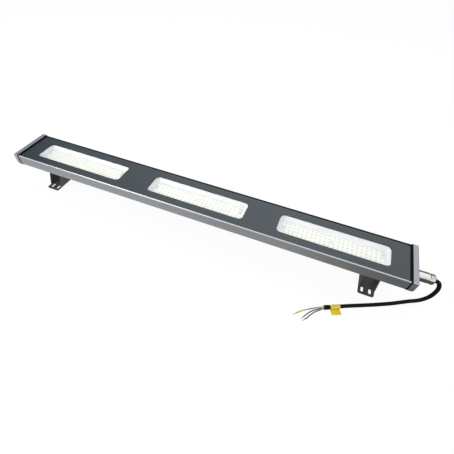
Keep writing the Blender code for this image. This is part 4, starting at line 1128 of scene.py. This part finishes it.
side, corner = hexagon_reach(GLAND_FLATS)
nut_low, nut_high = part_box("gland_dome_nut")
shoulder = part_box("gland_washer")[1].x + FIT
body_length = nut_low.x - 2 * FIT - shoulder
body_bm = turned_hexagon(GLAND_FLATS, [
    (side - GROOVE, body_length), (side - GROOVE, body_length - GROOVE), (side, body_length - GROOVE),
    (corner, body_length - GROOVE - GLAND_CHAMFER), (corner, GLAND_CHAMFER), (side, 0.0)], GLAND_SIDES)
gland_body = gland_piece("gland_hexagon", "gland_body", body_bm, shoulder)

nut_length = nut_high.x - nut_low.x
straight = nut_length * DOME_START
dome = quarter((MOUTH_RADIUS, straight), (corner - MOUTH_RADIUS, nut_length - straight),
               range(0, 90, 10))
bore = cable_radius + 2 * FIT
mouth = lathe([(MOUTH_RADIUS - GROOVE, nut_length + FIT), (bore, nut_length - 2 * GROOVE),
               (bore, nut_length / 2)], GLAND_SIDES)
nut_bm = turned_hexagon(GLAND_FLATS, dome + [(corner, GLAND_CHAMFER), (side, 0.0)], GLAND_SIDES)
nut_bm = boolean(nut_bm, mouth, "DIFFERENCE")
gland_nut = gland_piece("gland_dome", "gland_dome_nut", nut_bm, nut_low.x)

print("gland body and dome nut:", in_mm([body_length, nut_length]), "mm")

# %% [markdown]
# ## Bolts, nuts and cap screws
# The feet turn on M8 bolts, the saddles are clamped with M8 bolts in the rails, and each cap is held
# by four socket screws. All of them are turned shapes with a hexagon somewhere: a head, a nut or a
# socket. A real thread is a helix, but on an 8 mm bolt seen from a step away rings of the same pitch
# look alike, and they stay clean closed solids.

# %% Threaded shank, hex head and flange nut
BOLT_RADIUS = 4.0 * MM
THREAD_PITCH = 1.25 * MM
THREAD_DEPTH = 0.65 * MM
THREAD_CREST = (0.4, 0.6)
HEAD_FLATS = 13.0 * MM
HEAD_HEIGHT = 5.2 * MM
HEAD_CHAMFER = 0.7 * MM
HEAD_EDGE = 0.12 * MM
NUT_HEIGHT = 7.0 * MM
NUT_FLANGE_RADIUS = 8.4 * MM
NUT_FLANGE = 1.6 * MM
FASTENER_SIDES = 36


def threaded(length, plain_length):
    """A shank that hangs from z = 0 to -length, threaded past its plain part."""
    core_radius = BOLT_RADIUS - THREAD_DEPTH
    height = -length + THREAD_DEPTH
    profile = [(core_radius - THREAD_DEPTH, -length), (core_radius, height)]
    while height + THREAD_PITCH < -plain_length:
        profile += [(BOLT_RADIUS, height + THREAD_PITCH * share) for share in THREAD_CREST]
        height += THREAD_PITCH
        profile.append((core_radius, height))
    profile += [(BOLT_RADIUS, -plain_length), (BOLT_RADIUS, 0.0)]
    return lathe(profile, FASTENER_SIDES)


def hex_bolt(length, plain_length):
    """A bolt whose head stands on the plane z = 0."""
    side, corner = hexagon_reach(HEAD_FLATS)
    bolt = turned_hexagon(HEAD_FLATS, [
        (side - HEAD_CHAMFER / 2, HEAD_HEIGHT), (corner, HEAD_HEIGHT - HEAD_CHAMFER), (corner, FIT),
        (side - FIT, FIT), (side - FIT, 0.0)], FASTENER_SIDES)
    round_edges(bolt, HEAD_EDGE)
    bolt.from_mesh(mesh_of("shank", threaded(length, plain_length)))
    return bolt


def flange_nut():
    """A nut that hangs from the plane z = 0 by its flange."""
    side, corner = hexagon_reach(HEAD_FLATS)
    body = turned_hexagon(HEAD_FLATS, [
        (corner, -NUT_FLANGE / 2), (corner, HEAD_CHAMFER - NUT_HEIGHT),
        (side - HEAD_CHAMFER / 2, -NUT_HEIGHT)], FASTENER_SIDES)
    flange = lathe([(NUT_FLANGE_RADIUS - FIT, 0.0), (NUT_FLANGE_RADIUS, -FIT),
                    (NUT_FLANGE_RADIUS, -NUT_FLANGE / 2), (side + FIT, -NUT_FLANGE)], FASTENER_SIDES)
    hole = lathe([(BOLT_RADIUS + FIT, HEAD_CHAMFER), (BOLT_RADIUS + FIT, HEAD_CHAMFER - NUT_HEIGHT),
                  (BOLT_RADIUS + HEAD_CHAMFER, -NUT_HEIGHT - FIT)], FASTENER_SIDES)
    return boolean(boolean(body, flange, "UNION"), hole, "DIFFERENCE")


def fastener_mesh(name, bm):
    bmesh.ops.recalc_face_normals(bm, faces=bm.faces)
    return finished(mesh_of(name, bm), [zinc])


nut_mesh = fastener_mesh("m8_flange_nut", flange_nut())
print("faces of a flange nut:", len(nut_mesh.polygons))

# %% M8 bolts and nuts in their places
SLIDE_PLAIN = 1.5 * MM
PIVOT_THREAD = 14 * MM


def place_fastener(node, mesh, axis, height, turn=Matrix()):
    """A copy of the mesh on the solid's axis, with its plane z = 0 at that height of the axis."""
    place = middle_of(node)
    place[axis] = height
    piece = keep_flats_flat(link(bpy.data.objects.new(node + "_turned", mesh)))
    piece.matrix_world = Matrix.Translation(place) @ turn
    return installed(piece, node)


def shank_length(node, axis):
    low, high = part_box(node)
    return high[axis] - low[axis] - HEAD_HEIGHT


slide_shank = shank_length("slide_bolt_left_1", axis=2)
pivot_shank = shank_length("pivot_bolt_left", axis=0)
slide_bolt = fastener_mesh("m8_slide_bolt", hex_bolt(slide_shank, SLIDE_PLAIN))
pivot_bolt = fastener_mesh("m8_pivot_bolt", hex_bolt(pivot_shank, pivot_shank - PIVOT_THREAD))
for side in SIDES:
    for number in (1, 2):
        for kind, mesh, back in (("bolt", slide_bolt, HEAD_HEIGHT), ("nut", nut_mesh, 0.0)):
            node = "slide_%s_%s_%d" % (kind, side, number)
            place_fastener(node, mesh, 2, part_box(node)[1].z - back)
    for kind, mesh, back in (("bolt", pivot_bolt, HEAD_HEIGHT), ("nut", nut_mesh, 0.0)):
        node = "pivot_%s_%s" % (kind, side)
        place_fastener(node, mesh, 0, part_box(node)[1].x - back, ALONG_X)
print("M8 bolts and nuts:", named("_turned"))

# %% Socket screws in the caps
SOCKET_HEAD_RADIUS = 4.2 * MM
SOCKET_HEAD = 4.6 * MM
SOCKET_FLATS = 4.0 * MM
SOCKET_DEPTH = 2.6 * MM
SCREW_RADIUS = 2.4 * MM


def socket_screw(length):
    """A socket-head screw whose face is on the plane z = 0."""
    blank = lathe([(SOCKET_HEAD_RADIUS - FIT, 0.0), (SOCKET_HEAD_RADIUS, -FIT),
                   (SOCKET_HEAD_RADIUS, -SOCKET_HEAD), (SCREW_RADIUS, -SOCKET_HEAD),
                   (SCREW_RADIUS, FIT - length), (SCREW_RADIUS - FIT, -length)], FASTENER_SIDES)
    return boolean(blank, hexagon_bm(SOCKET_FLATS, -SOCKET_DEPTH, SOCKET_DEPTH), "DIFFERENCE")


screw_low, screw_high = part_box("end_cap_screw_left_1")
socket_mesh = fastener_mesh("m5_socket_screw", socket_screw(screw_high.x - screw_low.x))
for side, outward in zip(SIDES, (-1, 1)):
    for number in (1, 2, 3, 4):
        node = "end_cap_screw_%s_%d" % (side, number)
        low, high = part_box(node)
        face = high.x if outward > 0 else low.x
        place_fastener(node, socket_mesh, 0, face, Matrix.Rotation(outward * math.pi / 2, 4, "Y"))
print("fasteners in all:", named("_turned"))

# %% [markdown]
# ## Finishes for the solids that stay as they are
# Some pieces are sealed inside the housing or so simple that the engineering solid is already their
# final shape. They only need their finish. A small table of name endings would be shorter, but a
# plain list of pieces for each finish is easier to check against the bill of parts.

# %% Finishes on the remaining solids
kept = {
    ink: ["glass_print"],
    rubber: ["glass_seal", "gland_insert", "gland_washer", "inner_supply_lead"],
    anodised: ["led_board_1", "led_board_2", "led_board_3"],
    case_black: ["led_driver_left", "led_driver_right"],
    terminal_white: ["terminal_block", "board_supply_lead", "driver_link_lead"],
    nickel: ["gland_lock_nut"],
}
for finish, names in kept.items():
    for name in names:
        mesh = frame["nodes"][name].data
        mesh.materials.clear()
        finished(mesh, [finish])
print("solids given a finish:", sum(len(names) for names in kept.values()))
